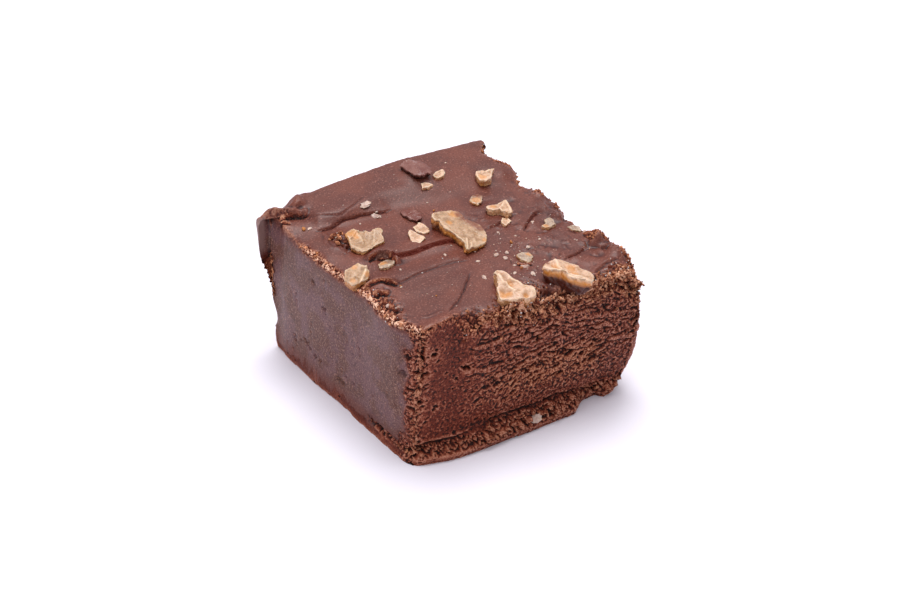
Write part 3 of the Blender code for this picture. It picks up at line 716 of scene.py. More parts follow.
def rim_relief(points, region, mark):
    """Crumbly rims, broad and broken along the right of the front. How far along the normal."""
    x, y, _ = points.T
    left, front, right = region.left, region.front, region.right
    broken = right * (region.rim < 4)
    gone = ramp((grain_where(broken, points, 2.8, seed=25) + 0.05) * 6, 0, 1)
    broken *= np.maximum(gone, ramp(y, -14, -18))
    kind = front * (0.35 + 0.65 * ramp(x, -8, -3)) + left * (0.35 + 0.65 * ramp(y, 14, 8))
    kind += right * (0.2 + 0.8 * broken) * (1 - 0.35 * region.top) + 0.12 * region.back
    mark.front_zone = front * region.torn_right * ramp(region.rim, 5.5, 2.5)
    width = 0.75 + 0.35 * region.uneven + 0.5 * broken
    width += mark.front_zone * (1.1 + 0.7 * ramp(x, 12, 20))
    mark.rim = bell(region.rim, width) * kind
    mark.rim_kind = kind
    both = np.minimum(mark.rim, mark.front_zone)
    coarse = crumble(both, points, 1.5, seed=50)
    small = crumble(mark.rim, points, 0.7, seed=54)
    lumps = grain_where(mark.rim, points, 1.9, seed=6)
    relief = mark.rim * (1.3 * coarse + (1.1 - 0.3 * left) * small - 0.12 + 0.35 * lumps)
    gaps = hollows(points, 1.7, 21, rare=0.25, sharp=3, wall=2)
    return relief - 0.9 * both * gaps


def torn_relief(points, region, mark):
    """Front and right sides: torn through, layered along the square and pitted. How far out."""
    x, _, z = points.T
    torn = (region.front + region.right) * region.side
    mark.strong = region.front * region.torn_right + region.right
    mark.torn = torn
    ripped = torn * mark.strong
    layered = ripped * ramp(region.rim, 1.2, 3.0) * ramp(z, 9, 13)
    warped = points.copy()
    warped[:, 2] += 0.50 * region.uneven + 0.22 * grain_where(torn, points, 1.3, seed=22)
    layer = grain_where(torn, warped, (4.2, 4.2, 1.25), seed=7)
    thin = grain_where(torn, warped, (1.9, 1.9, 0.60), seed=8)
    patchy = ramp(grain_where(torn, points, (2.6, 2.6, 1.8), seed=23), -0.12, 0.08)
    slits = bell(layer, 0.11) * patchy + 0.5 * bell(thin, 0.12) * (1 - patchy)
    mark.slits = slits * layered
    out = layered * (0.35 * layer + 0.10 * thin) - 0.65 * mark.slits
    slanted = points.copy()
    slanted[:, 2] -= 0.35 * x
    middle = ramp(z, 5.5, 8.5) * ramp(z, 17, 12) * ramp(x, 19, 15)
    mark.middle = ripped * middle
    pores = hollows(slanted, (1.35, 1.35, 0.75), 9, rare=0.20, sharp=3, wall=2.5)
    out -= 0.60 * ripped * (middle + 0.12) * pores
    out += torn * (0.25 + 0.40 * mark.strong) * crumble(torn, points, 0.55, seed=60)
    mark.near_top = ripped * np.exp(-np.maximum(region.rim - 0.8, 0) / 1.8)
    blocky = grain_where(torn, points, (2.4, 2.4, 1.6), seed=12)
    out += mark.near_top * (1.2 * crumble(mark.near_top, points, 2.2, seed=70) + 0.55 * blocky)
    dimples = hollows(points, (0.9, 0.9, 0.6), 19, rare=0.80, sharp=8, wall=3)
    return out - 0.30 * torn * (1 - mark.strong) * dimples


def cut_relief(points, region, mark):
    """Left and back sides: cut smooth, with faint streaks and a few pits. How far out."""
    mark.cut = (region.left + region.back) * region.side
    streak = grain_where(mark.cut, points, (0.9, 0.9, 5), seed=13)
    scarce = ramp(grain_where(mark.cut, points, 5, seed=15) * 3, 0, 1)
    pinholes = hollows(points, (0.6, 0.6, 0.45), 14, rare=0.82, sharp=12, wall=3)
    return mark.cut * (0.010 * streak - 0.16 * scarce * pinholes)


def corner_relief(points, region, mark):
    """Upright edges beside a torn side: jagged and holed. How far out."""
    z = points[:, 2]
    side, to_left, to_right = region.side, region.front_left, region.front_right
    near = region.left * side * ramp(to_left - 2.2 * region.uneven, 4.0, 1.5)
    corner = bell(to_left, 0.95 + 0.5 * region.uneven) + bell(region.back_right, 1.6)
    corner += 0.5 * bell(to_right, 1.5) * ramp(z, 9, 16)
    corner = np.minimum(corner * side, 1)
    mark.near_corner, mark.corner = near, corner
    blunt = grain_where(corner, points, 2.2, seed=17)
    holes = hollows(points, 1.5, 16, rare=0.30, sharp=4, wall=2)
    out = 0.7 * near * crumble(near, points, 0.6, seed=104)
    out -= 0.5 * side * bell(to_right, 2.4) * ramp(z, 22, 26)
    return out + corner * (1.3 * crumble(corner, points, 1.4, seed=80) + 0.35 * blunt - 0.7 * holes)


def foot_relief(points, region, mark):
    """Lip and flange along the foot: crumbly outside, smooth below, a cleft above. How far out."""
    x, y, z = points.T
    over = z - np.interp(x, *zip(*LIP_TALL)) - 0.35 * region.uneven
    kind = region.front + 0.8 * region.left * ramp(y, -7, -11)
    mark.lip = region.side * ramp(over, 0.3, -0.2) * kind * ramp(z, 1.0, 1.8)
    mark.cleft = region.side * region.front * bell(over - 0.3, 0.3) * ramp(x, 14, 12)
    return mark.lip * (1.6 * crumble(mark.lip, points, 1.2, seed=90) - 0.10) - 0.55 * mark.cleft


def burr_relief(points, region, mark):
    """The fold at the back left: grooved where it meets the side, crumbly lower down. How far
    out."""
    _, y, z = points.T
    upper, lower = (to_segment(points, *ends) for ends in zip(BURR_GROOVE, BURR_GROOVE[1:]))
    to_groove = np.minimum(upper, lower)
    mark.groove = bell(to_groove, 0.45) * region.side
    mark.ragged = ramp(to_groove, 2.4, 1.4) * (y > 20.8) * ramp(z, 20.5, 18.5) * region.side
    return mark.ragged * crumble(mark.ragged, points, 0.9, seed=95) - 0.6 * mark.groove


def store_marks(mesh, points, region, mark):
    """Keeps what the materials read. Crumbs is how likely a loose crumb is."""
    x, y, z = points.T
    side = region.side
    strip = region.left * side * ramp(z - region.uneven, 1.9, 1.1)
    torn = (mark.torn + 1.2 * mark.rim + 1.2 * mark.lip + mark.corner + 0.9 * strip + mark.groove
            + 0.9 * mark.near_corner + mark.ragged + 1.3 * mark.curl + 0.7 * mark.clot)
    crust = (1.3 * mark.rim + 0.35 * mark.corner + 0.20 * mark.lip + mark.ragged + mark.curl
             + 0.4 * mark.clot + 0.6 * mark.near_top + 0.5 * mark.middle)
    pale = mark.rim * region.left + 0.5 * mark.front_zone * bell(region.rim, 1.8)
    coarse = mark.strong + region.top + mark.rim + mark.corner + mark.near_corner
    for name, values in (("torn", torn), ("crust", crust), ("pale", pale), ("coarse", coarse)):
        store(mesh, name, np.clip(values, 0, 1))
    # Relief: how far a point stands out of its surroundings; the material paints hollows dark as
    # painted shade and raised tips light as painted highlight.
    store(mesh, "relief", np.clip(mark.relief, -1, 1))
    # A painted lit patch on the left part of the back left fold's front side, lighter than the
    # lamps leave it.
    store(mesh, "painted_lit_flap", side * (y > 20.4) * ramp(x, -23.3, -24.2) * ramp(z, 18.5, 21.5))
    # Cut sides away from the rim: a greyish bloom with a painted sheen over it.
    open_cut = mark.cut * ramp(region.rim, 0.6, 1.8) * ramp(z, 2.5, 4.5)
    store(mesh, "bloom_and_sheen", open_cut * (1 - np.clip(mark.near_corner, 0, 1)))
    # Grooves, the lip's cleft and the torn slits join the creases in the fold mark, which paints
    # them dark as painted shade and gives their faces the torn material.
    dug = np.maximum.reduce([mark.groove, 0.6 * mark.cleft, 0.8 * mark.slits])
    store(mesh, "fold", np.minimum(mark.fold, 1 - 0.9 * dug))
    crumbs = 0.45 * mark.rim * (mark.rim_kind > 0.4) + 0.10 * mark.corner + 0.14 * mark.lip
    crumbs += 0.7 * mark.near_top + 1.6 * mark.front_zone * bell(region.rim, 2.2)
    store(mesh, "crumbs", crumbs * ramp(mark.pits, -0.5, 0))


def worked_body():
    """The body's mesh in mm with the relief of every side, and the marks its materials read."""
    mesh = remeshed(plugged_body(), "block", BODY_VOXEL)
    edges = read_all(mesh.edges, "vertices", 2, np.int32)
    points = relaxed(read_points(mesh), edges, 0.5, 4)
    write_points(mesh, points)
    points = shaped(points, relaxed(read_normals(mesh), edges, 0.6, 6))
    points = relaxed(points, edges, 0.5, 2)
    write_points(mesh, points)
    normals = relaxed(read_normals(mesh), edges, 0.6, 16)
    normals /= np.linalg.norm(normals, axis=1)[:, None]
    region = read_regions(points, normals)
    calm = region.top * ramp(region.rim, 0.8, 2.8) + 0.9 * region.side * ramp(region.rim, 0.5, 2.5)
    points = relaxed(points, edges, 0.6 * calm * ramp(points[:, 2], 4.2, 5.7), 70)

    region.uneven = grain(points, 2.5, seed=1)
    region.torn_right = ramp(points[:, 0] + 4 * region.uneven, -13, 2)
    mark = SimpleNamespace(pits=pit_relief(points))
    up = top_relief(points, region, mark)
    along = rim_relief(points, region, mark) + mark.pits
    out = sum(relief(points, region, mark) for relief in
              (torn_relief, cut_relief, corner_relief, foot_relief, burr_relief))
    push = region.outward * (out * region.side)[:, None] + normals * along[:, None]
    push[:, 2] += up
    moved = points + (1 - region.foot)[:, None] * push
    moved[:, 2] = np.maximum(moved[:, 2], 0)
    moved[points[:, 2] < ON_FLOOR, 2] = 0
    write_points(mesh, moved)
    # How far each point stands out, fine and broad, for the painted shade in hollows and the
    # painted highlights on tips.
    fine, broad = (proudness(mesh, moved, edges, rounds) for rounds in (6, 30))
    mark.relief = fine / 0.055 + broad / 0.24
    store_marks(mesh, points, region, mark)
    return mesh


def fill(tree, node, inputs):
    """Sets each of the node's inputs to a value, or links it to another node's output."""
    for name, value in inputs.items():
        if isinstance(value, bpy.types.NodeSocket):
            tree.links.new(value, node.inputs[name])
        else:
            node.inputs[name].default_value = value


def add_node(tree, kind, settings, inputs):
    """A node with its settings and its inputs filled."""
    node = tree.nodes.new(kind)
    for name, value in settings.items():
        setattr(node, name, value)
    fill(tree, node, inputs)
    return node


def new_material(name):
    material = bpy.data.materials.new(name)
    material.use_nodes = True
    tree = material.node_tree
    return material, tree, tree.nodes["Principled BSDF"]


def maths(tree, operation, *values):
    """The result of a sum, such as MULTIPLY_ADD, on numbers and sockets."""
    inputs = dict(enumerate(values))
    return add_node(tree, "ShaderNodeMath", {"operation": operation}, inputs).outputs[0]


def mixed(tree, share, low, high):
    """The output colour of a mix of two colours, each a hex code or a socket."""
    low, high = (hex_linear(tone) if isinstance(tone, str) else tone for tone in (low, high))
    mix = add_node(tree, "ShaderNodeMix", {"data_type": "RGBA"}, {0: share, 6: low, 7: high})
    return mix.outputs[2]


def ranged(tree, value, low, high):
    """0 to 1, softly, as the value goes from low to high."""
    return add_node(tree, "ShaderNodeMapRange", {"interpolation_type": "SMOOTHSTEP"},
                    {"Value": value, "From Min": low, "From Max": high}).outputs["Result"]


def layered(tree, tone, *layers):
    """A tone under others, each of which comes in as its value goes from low to high."""
    for value, low, high, over in layers:
        tone = mixed(tree, ranged(tree, value, low, high), tone, over)
    return tone


def read_marks(tree, *names):
    return {name: add_node(tree, "ShaderNodeAttribute", {"attribute_name": name}, {}).outputs["Fac"]
            for name in names}


def place_in(tree):
    return add_node(tree, "ShaderNodeTexCoord", {}, {}).outputs["Object"]


def noise_of(tree, place, size, detail=2.0, roughness=0.5):
    """Noise from 0 to 1 whose features are about this many mm."""
    inputs = {"Vector": place, "Scale": 1 / (size * MM), "Detail": detail, "Roughness": roughness}
    return add_node(tree, "ShaderNodeTexNoise", {}, inputs).outputs["Fac"]


def rippled(tree, height, strength, distance):
    """A normal that follows the height, whose full swing is this many mm."""
    inputs = {"Strength": strength, "Distance": distance * MM, "Height": height}
    return add_node(tree, "ShaderNodeBump", {}, inputs).outputs["Normal"]


def fudge_material(name, roughness, level, bump):
    """Cooked sugar, butter and cocoa. Spread or cut it is satin; torn it is matt and granular.
    Its colour carries painted shade in hollows, creases and slits, painted highlights on raised
    tips, painted sheen with the bloom on the cut sides and a painted lit patch on the back left
    fold.
    """
    material, tree, shader = new_material(name)
    place = place_in(tree)
    marks = read_marks(tree, "torn", "coarse", "bloom_and_sheen", "relief", "crust", "pale", "fold", "painted_lit_flap")
    crust, pale, relief = marks["crust"], marks["pale"], marks["relief"]
    grains = noise_of(tree, place, 0.28, 2.0, 0.6)
    swing = add_node(tree, "ShaderNodeMapRange", {},
                     {"Value": marks["coarse"], "To Min": 1.6, "To Max": 3.2}).outputs[0]
    # Height for the torn tones: grain, relief and the pale rim, so that hollows take painted shade
    # and raised tips painted light and glints.
    height = maths(tree, "MULTIPLY", maths(tree, "SUBTRACT", grains, 0.5), swing)
    height = maths(tree, "MULTIPLY_ADD", relief, 1.1, height)
    height = maths(tree, "MULTIPLY_ADD", pale, 0.5, height)
    # Raised tips are the crust's own lighter tone with painted light on them; the glints are
    # painted highlights.
    crumb_tips_and_light = mixed(tree, crust, "884630", mixed(tree, pale, "9E5C3C", "B87A62"))
    glints = mixed(tree, crust, "B8806A", mixed(tree, pale, "D0946C", "ECC0A4"))
    torn = layered(tree, "180300", (height, -1.0, -0.05, "5C2010"), (height, 0.0, 0.9, crumb_tips_and_light),
                   (height, 0.7, 1.6, glints))
    # Spread tone: random mottling and specks, with painted shade where the surface sinks below its
    # surroundings.
    spread = layered(tree, "522013", (noise_of(tree, place, 6.0, 3.0), 0.35, 0.65, "622C1C"),
                     (grains, 0.56, 0.72, "865346"), (grains, 0.42, 0.28, "3A1109"),
                     (relief, -0.2, -1.0, "3A0D06"))
    # Cut sides: mauve-grey bloom and painted sheen, with random specks.
    bloom_sheen_tone = layered(tree, "542818", (noise_of(tree, place, 4.5, 3.0), 0.42, 0.60, "5E383A"),
                   (grains, 0.52, 0.70, "8E6656"), (grains, 0.45, 0.30, "2E0E08"))
    tone = mixed(tree, marks["bloom_and_sheen"], spread, bloom_sheen_tone)
    tone = mixed(tree, marks["torn"], tone, torn)
    # Painted light on the back left fold's front side.
    tone = mixed(tree, marks["painted_lit_flap"], tone, "80625C")
    # Painted shade in creases, grooves, the cleft and slits: dark red on the spread top, near black
    # where torn.
    crevice_shade = mixed(tree, marks["torn"], "5A1A0C", "1A0200")
    tone = mixed(tree, ranged(tree, marks["fold"], 0.10, 0.45), crevice_shade, tone)
    fill(tree, shader, {"Base Color": tone, "Roughness": roughness, "IOR": 1.45,
                        "Specular IOR Level": level, "Normal": rippled(tree, grains, bump, 0.30)})
    return material


def crumb_material():
    """Loose fudge crumbs: dry and matt, from dark cocoa to tan where the sugar shows."""
    material, tree, shader = new_material("fudge_crumbs_dry")
    tone = mixed(tree, read_marks(tree, "tone")["tone"], "5E2412", "D8946C")
    tone = layered(tree, tone, (noise_of(tree, place_in(tree), 0.3), 0.55, 0.3, "3A1208"))
    fill(tree, shader, {"Base Color": tone, "Roughness": 0.6, "Specular IOR Level": 0.15})
    return material


def walnut_material(name, pale, shade, edge="E0CAAE"):
    """Dry walnut meat: waxy and pale where it broke, amber where oil shows, brown where skin
    stays, paler on raised parts and darker in hollows as painted light and shade, with a painted
    highlight along its edges and painted shade at the foot of its walls."""
    material, tree, shader = new_material(name)
    place = place_in(tree)
    marks = read_marks(tree, "amber", "wall", "skin", "relief", "edge")
    fine = noise_of(tree, place, 0.35, 3.0)
    # Paler on raised parts and darker in hollows, as painted light and shade, over random mottling.
    level = maths(tree, "MULTIPLY_ADD", marks["relief"], 0.22, noise_of(tree, place, 1.4, 4.0))
    level = maths(tree, "MULTIPLY_ADD", fine, 0.3, level)
    tone = layered(tree, shade, (level, 0.40, 0.85, pale))
    tone = mixed(tree, marks["amber"], tone, "C6823A")
    tone = mixed(tree, marks["wall"], tone, "CC7E14")
    # Brown skin patches, and near black at the foot of the walls as painted shade.
    tone = mixed(tree, marks["skin"], tone, "6C2C12")
    tone = layered(tree, tone, (marks["skin"], 0.80, 1.0, "461404"))
    # Pale edges with a painted highlight along the rims and ridges.
    tone = mixed(tree, marks["edge"], tone, edge)
    fill(tree, shader, {"Base Color": tone, "Roughness": 0.42, "Subsurface Weight": 0.25,
                        "Subsurface Radius": (1.0, 0.55, 0.30), "Subsurface Scale": 0.7 * MM,
                        "IOR": 1.48, "Normal": rippled(tree, fine, 0.5, 0.15)})
    return material


def coated_material():
    """A film of fudge over walnut: satin, greyer than the fudge, with specks of sugar, and painted
    shade at the foot of its walls.
    """
    material, tree, shader = new_material("fudge_film_on_walnut")
    place = place_in(tree)
    tone = layered(tree, "632F25", (noise_of(tree, place, 2.0, 3.0), 0.35, 0.65, "76493F"),
                   (noise_of(tree, place, 0.30), 0.66, 0.74, "A88A80"))
    # The skin mark here holds only the painted shade at the foot of the walls.
    tone = mixed(tree, read_marks(tree, "skin")["skin"], tone, "300C05")
    fill(tree, shader, {"Base Color": tone, "Roughness": 0.40})
    return material


def sugar_material():
    """Sugar crystals: clear, sharp and glinting, white where light gathers."""
    material, tree, shader = new_material("sugar_crystals")
    fill(tree, shader, {"Base Color": hex_linear("EFE6E2"), "Roughness": 0.12, "IOR": 1.54,
                        "Transmission Weight": 0.4})
    return material


def linked(name, data):
    """An object of the scene made from the data."""
    thing = bpy.data.objects.new(name, data)
    bpy.context.scene.collection.objects.link(thing)
    return thing


def finished(name, mesh, materials, slot, *nodes):
    """The mesh, still in mm, becomes a piece of the object that stands for these CAD nodes."""
    mesh.transform(Matrix.Scale(MM, 4))
    mesh.materials.clear()
    for material in materials:
        mesh.materials.append(material)
    mesh.name = name
    piece = linked(name, mesh)
    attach(piece, "root")
    if nodes:
        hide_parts(*nodes)


def make_fudge(materials):
    """The fudge in its place, and its surface in mm for other pieces to lie on."""
    mesh = worked_body()
    triangles = sum(len(face.vertices) - 2 for face in mesh.polygons)
    mesh = modified(mesh, "DECIMATE", ratio=min(1.0, BODY_TRIANGLES / triangles))
    mesh.shade_smooth()
    matt = np.maximum(recall(mesh, "torn"), 0.9 - recall(mesh, "fold"))
    faces = [tuple(face.vertices) for face in mesh.polygons]
    ground = BVHTree.FromPolygons([tuple(vert.co) for vert in mesh.vertices], faces)
    surface = SimpleNamespace(points=read_points(mesh), normals=read_normals(mesh), ground=ground,
                              crumbs=recall(mesh, "crumbs"))
    finished("fudge_square", mesh, materials, "fudge", "fudge")
    kinds = [int(matt[list(face)].mean() > TORN_LOOK) for face in faces]
    mesh.polygons.foreach_set("material_index", kinds)
    return surface


def broken_facets(points, reach, seed, tilt):
    """Flat broken facets, each leaning its own way, as height changes at each point."""
    draw = random.Random(seed)
    centres = [(draw.uniform(-1, 1) * reach[0], draw.uniform(-1, 1) * reach[1],
                draw.uniform(-tilt, tilt), draw.uniform(-tilt, tilt)) for _ in range(9)]
    x, y, _ = points.T
    away = np.stack([np.hypot(x - cx, y - cy) for cx, cy, _, _ in centres], 1)
    cx, cy, along, across = np.array(centres)[away.argmin(1)].T
    return along * (x - cx) + across * (y - cy)


def spots(points, places):
    """1 inside the given round patches and 0 outside, with soft, uneven edges."""
    if not places:
        return np.zeros(len(points))
    x, y, _ = points.T
    share = np.max([1.35 - np.hypot(x - cx, y - cy) / radius for cx, cy, radius in places], 0)
    return ramp(share + 0.35 * grain(points, 0.7, seed=44), 0, 1)


def nut_shape(nut):
    """A broken piece of walnut lying flat, its seat at z 0."""
    bm = bmesh.new()
    bmesh.ops.create_circle(bm, cap_ends=True, radius=1, segments=len(nut.outline))
    reached = 0.80 - 0.10 * nut.base
    for vert, (x, y) in zip(bm.verts, nut.outline):
        vert.co = Vector((x * reached, y * reached, 0))
    foot = cap = bm.faces[:][0]
    for reach, level in ((0.92, 0.45), (1.0, 0.88), (0.97, 1.0)):
        grown = bmesh.ops.extrude_face_region(bm, geom=[cap])["geom"]
        if cap is not foot:
            bmesh.ops.delete(bm, geom=[cap], context="FACES_ONLY")
        cap = next(item for item in grown if isinstance(item, bmesh.types.BMFace))
        grow = reach / reached
        for vert in cap.verts:
            vert.co = Vector((vert.co.x * grow, vert.co.y * grow, nut.thick * level))
        reached = reach
    bmesh.ops.triangulate(bm, faces=[foot, cap])
    bmesh.ops.recalc_face_normals(bm, faces=bm.faces)
    return bm


def nut_rise(nut, points):
    """The relief of a walnut's top, and how much each point is on a pale ridge, where a painted
    highlight goes.
    """
    x, y, _ = points.T
    rise = broken_facets(points, np.abs(np.array(nut.outline)).max(0), nut.seed, nut.tilt)
    for cx, cy, radius, high in nut.mounds:
        rise += high * np.exp(-((x - cx) ** 2 + (y - cy) ** 2) / radius ** 2)
    edge = np.zeros(len(points))
    bent = points.copy()
    bent[:, :2] += 0.25 * grain(points, 1.3, nut.seed + 21)[:, None]
    for x0, y0, x1, y1, high, wide in nut.ridges:
        signed = to_line(bent, ((x0, y0), (x1, y1)))[0]
        rise += high * np.exp(-abs(signed / wide) ** 1.5)
        edge = np.maximum(edge, min(0.5, 1.4 * high) * bell(signed, 0.7 * wide))
    return rise + 0.12 * grain(points, 1.6, nut.seed + 20), edge


def nut_mesh(name, nut, ground):
    """A worked piece of walnut in its place, with the marks its material reads."""
    mesh = remeshed(nut_shape(nut), name, NUT_VOXEL)
    edges = read_all(mesh.edges, "vertices", 2, np.int32)
    points = relaxed(read_points(mesh), edges, 0.5, 2)
    seed, thick = nut.seed, nut.thick
    height = ramp(points[:, 2] / thick, 0.35, 0.85)
    rise, edge = nut_rise(nut, points)
    lifted = points.copy()
    lifted[:, 2] += height * rise
    lifted = relaxed(lifted, edges, 0.5, 2)
    write_points(mesh, lifted)
    normals = read_normals(mesh)
    walls = ramp(normals[:, 2], 0.65, 0.25)
    rough = 0.06 * grain(points, 0.75, seed + 30) + 0.05 * grain(points, 0.32, seed + 31)
    rough += walls * 0.15 * shards(walls, points, 0.8, seed + 32)
    rough += walls * 0.12 * grain(points, 1.2, seed + 33)
    lifted = lifted + normals * rough[:, None]
    write_points(mesh, lifted)
    from_edge = abs(to_line(points, nut.outline + nut.outline[:1])[0])
    # Pale broken edges with a painted highlight along the rim, patchy by noise and kept off the
    # walls.
    worn = 0.40 + 0.50 * grain(points, 1.1, seed + 22)
    edge = np.maximum(edge, worn * bell(from_edge - 0.05, 0.18))
    edge *= 1 - walls + 0.3 * walls * height
    sunk = (thick - points[:, 2]) / max(nut.proud, 0.7)
    skin = spots(points, nut.skin)
    # Painted shade down the lower walls, where they sink towards the fudge; it goes into the skin
    # mark.
    dark = max(0.0, nut.base - 0.5) * 2 * walls * ramp(sunk, 0.30, 0.70)
    # How far each point stands out, for the painted light and shade of its material.
    store(mesh, "relief", np.clip(proudness(mesh, lifted, edges, 10) / 0.08, -1, 1))
    store(mesh, "amber", 0.62 * spots(points, nut.amber))
    store(mesh, "wall", (1.5 * nut.base - 0.4) * walls * ramp(sunk, 0.05, 0.40))
    store(mesh, "skin", np.maximum(0.8 * skin, dark))
    store(mesh, "edge", np.clip(edge - 0.8 * skin, 0, 1))
    x, y = nut.at
    lean, towards = (math.radians(angle) for angle in nut.lean)
    hinge = Vector((-math.sin(towards), math.cos(towards), 0))
    seat = Matrix.Translation((x, y, ground_under(ground, x, y) + nut.proud))
    mesh.transform(seat @ Matrix.Rotation(lean, 4, hinge) @ Matrix.Translation((0, 0, -thick)))
    mesh.shade_smooth()
    return mesh


def crumb_shapes(count, seed, jag):
    """Small irregular lumps of 24 faces, about 1 mm in radius, to be strewn."""
    draw = random.Random(seed)
    shapes = []
    for _ in range(count):
        bm = bmesh.new()
        bmesh.ops.create_cube(bm, size=1.4)
        bmesh.ops.subdivide_edges(bm, edges=bm.edges[:], cuts=1, use_grid_fill=True)
        for vert in bm.verts:
            vert.co = vert.co.normalized() * draw.uniform(1 - jag, 1 + jag)
        shapes.append(mesh_of(bm, "crumb"))
    return shapes


def crystal_shapes(count, seed):
    """Blocky crystals with worn edges."""
    draw = random.Random(seed)
    shapes = []
    for _ in range(count):
        bm = bmesh.new()
        bmesh.ops.create_cube(bm, size=1.6)
        bmesh.ops.bevel(bm, geom=bm.edges[:], offset=0.25, offset_type="OFFSET", segments=1,
                        profile=0.5, affect="EDGES", material=-1)
        for vert in bm.verts:
            vert.co *= draw.uniform(0.9, 1.1)
        shapes.append(mesh_of(bm, "crystal"))
    return shapes


def strewn(name, shapes, placed, material, slot):
    """One piece of many small shapes: placed holds (point, radii, heading or None) for each."""
    draw = random.Random(name)
    bm = bmesh.new()
    tones = []
    for point, radii, heading in placed:
        shape = draw.choice(shapes).copy()
        if heading is None:
            axis = Vector([draw.gauss(0, 1) for _ in range(3)]).normalized()
            turn = Matrix.Rotation(draw.uniform(0, 6.28), 4, axis)
        else:
            turn = Matrix.Rotation(math.radians(heading), 4, "Z")
            turn = turn @ Matrix.Rotation(draw.uniform(-0.25, 0.25), 4, "X")
        shape.transform(Matrix.Translation(point) @ turn @ Matrix.Diagonal((*radii, 1)))
        tones += [draw.random() ** 1.5] * len(shape.vertices)
        add_into(bm, shape)
    mesh = mesh_of(bm, name)
    store(mesh, "tone", tones)
    finished(name, mesh, [material], slot)


def on_surface(surface, chance, count, draw, radius_of, sunk, spread):
    """Places for small lumps: points of the surface drawn by chance, with uneven radii."""
    placed = []
    for pick in draw.choices(range(len(chance)), weights=chance.tolist(), k=count):
        radius = radius_of()
        point = Vector(surface.points[pick]) + Vector(surface.normals[pick]) * radius * sunk
        placed.append((point, [radius * draw.uniform(*spread) for _ in range(3)], None))
    return placed


def scatter_crumbs(surface, material):
    """Crumbs caught along the rims, in the broken front and on the lip."""
    draw = random.Random(5)
    placed = on_surface(surface, surface.crumbs * (surface.points[:, 2] > 1.2), 3200, draw,
                        lambda: 0.08 + 0.22 * draw.random() ** 4, 0.2, (0.6, 1.4))
    for _ in range(26):
        x, y = draw.gauss(-16.0, 0.7), draw.gauss(9.8, 0.9)
        radius = draw.uniform(0.15, 0.42)
        z = ground_under(surface.ground, x, y) + radius * 0.4
        placed.append((Vector((x, y, z)), (radius,) * 3, None))
    strewn("fudge_crumbs", crumb_shapes(8, 1, 0.30), placed, material, "fudge")


def scatter_sugar(surface, material):
    """Sugar grains in the crumbly parts and a few glints on the spread top."""
    draw = random.Random(6)
    x, y, z = surface.points.T
    corner = bell(x - 20, 4) * bell(y + 19.5, 3) * bell(z - 26.5, 2)
    spike = bell(x - 2, 3.5) * bell(y + 20, 2.5) * bell(z - 26, 2)
    chance = (corner + spike) * np.minimum(surface.crumbs * 3, 1)
    chance += 0.03 * (z > 25.5) * bell(x + 2, 7) * bell(y + 10, 7)
    chance += 0.3 * bell(x + 19, 1.5) * bell(y + 9, 4) * bell(z - 26.5, 1.5)
    chance += 0.01 * surface.crumbs
    placed = on_surface(surface, chance, 150, draw, lambda: draw.uniform(0.06, 0.15), 0.4,
                        (0.7, 1.3))
    strewn("sugar_grains", crystal_shapes(5, 2), placed, material, "fudge")


def scatter_walnut(ground, pale, amber):
    """Flakes and dust of walnut lying on and in the top, and a chip in the lip."""
    draw = random.Random(7)
    placed = []
    for x, y, length, heading in FLAKES:
        point = Vector((x, y, ground_under(ground, x, y) + 0.02))
        placed.append((point, (length * 0.5, length * 0.34, length * 0.16), heading))
    dust = [(draw.gauss(7, 6), draw.gauss(-10, 5), draw.uniform(0.08, 0.22)) for _ in range(70)]
    dust += [(draw.uniform(-17, 21), draw.uniform(-17, 20), draw.uniform(0.06, 0.14))
             for _ in range(60)]
    for x, y, radius in dust:
        if -17 < x < 21 and -18 < y < 21:
            point = Vector((x, y, ground_under(ground, x, y)))
            placed.append((point, (radius, radius * 0.8, radius * 0.5), None))
    strewn("walnut_flakes", crumb_shapes(6, 3, 0.3), placed, pale, "walnut")
    placed = []
    for x, y, size in AMBER_CRUMBS:
        point = Vector((x, y, ground_under(ground, x, y) + size * 0.2))
        placed.append((point, (size * 0.5, size * 0.45, size * 0.5), None))
    strewn("walnut_crumbs", crumb_shapes(4, 4, 0.25), placed, amber, "walnut")
    strewn("walnut_in_lip", crumb_shapes(2, 5, 0.2), [(*LIP_CHIP, None)], pale, "walnut")


def make_stage():
    bm = bmesh.new()
    bmesh.ops.create_grid(bm, x_segments=1, y_segments=1, size=FLOOR_SIZE)
    floor = linked("floor", mesh_of(bm, "floor"))
    material, tree, shader = new_material("white_paper_floor")
    fill(tree, shader, {"Base Color": hex_linear("E3E0E9"), "Roughness": 0.9})
    floor.data.materials.append(material)


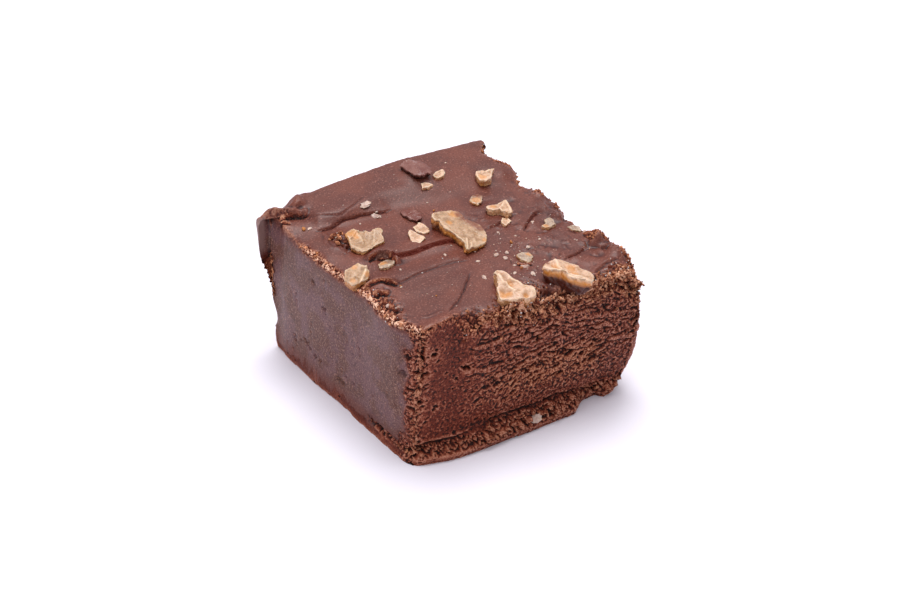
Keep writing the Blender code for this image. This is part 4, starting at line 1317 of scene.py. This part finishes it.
def make_light():
    world = bpy.data.worlds.new("studio")
    bpy.context.scene.world = world
    world.use_nodes = True
    sky = world.node_tree.nodes["Background"]
    fill(world.node_tree, sky, {"Color": SKY_COLOUR, "Strength": SKY_STRENGTH})
    for name, (place, size, power) in LAMPS.items():
        lamp = bpy.data.lights.new(name, "AREA")
        lamp.size = size
        lamp.energy = power
        thing = linked(name, lamp)
        thing.location = place
        thing.rotation_mode = "QUATERNION"
        thing.rotation_quaternion = (-Vector(place)).to_track_quat("-Z", "Y")


def make_camera():
    lens = bpy.data.cameras.new("camera")
    lens.lens = LENS
    lens.sensor_width = SENSOR
    camera = linked("camera", lens)
    back = Vector(CAMERA_BACK).normalized()
    heading, roll = math.radians(CAMERA_HEADING), math.radians(CAMERA_ROLL)
    level = Vector((math.cos(heading), math.sin(heading), 0))
    lift = back.cross(level)
    right = math.cos(roll) * level + math.sin(roll) * lift
    up = -math.sin(roll) * level + math.cos(roll) * lift
    camera.rotation_mode = "QUATERNION"
    camera.rotation_quaternion = Matrix((right, up, back)).transposed().to_quaternion()
    camera.location = (Vector(CAMERA_AIM) + back * CAMERA_AWAY) * MM
    bpy.context.scene.camera = camera


for thing in list(bpy.data.objects):
    bpy.data.objects.remove(thing)
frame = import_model()

smooth_fudge = fudge_material("chocolate_fudge_spread_and_cut", 0.46, 0.5, 0.16)
torn_fudge = fudge_material("chocolate_fudge_torn", 0.50, 0.22, 0.9)
meats = {"cream": walnut_material("walnut_meat_cream", "C6A48A", "A07656"),
         "tan": walnut_material("walnut_meat_tan", "B08E70", "8C6848"),
         "filmed": walnut_material("walnut_meat_filmed", "A8927E", "7C5E4C", "BCA890")}
surface = make_fudge([smooth_fudge, torn_fudge])
ground = surface.ground
for node in sorted(set(frame["nodes"]) - {"fudge"}):
    nut = NUTS[node]
    finished(node + "_piece", nut_mesh(node, nut, ground), [meats[nut.meat]], "walnut", node)
film = coated_material()
for name, nut in COATED.items():
    finished("coated_flake_" + name, nut_mesh(name, nut, ground), [film], "fudge")
scatter_crumbs(surface, crumb_material())
scatter_sugar(surface, sugar_material())
scatter_walnut(ground, walnut_material("walnut_flakes_pale", "BFA698", "94766A"),
               walnut_material("walnut_crumbs_amber", "B9783C", "96562A"))
make_stage()
make_light()
make_camera()
bpy.context.scene.view_settings.view_transform = "Standard"
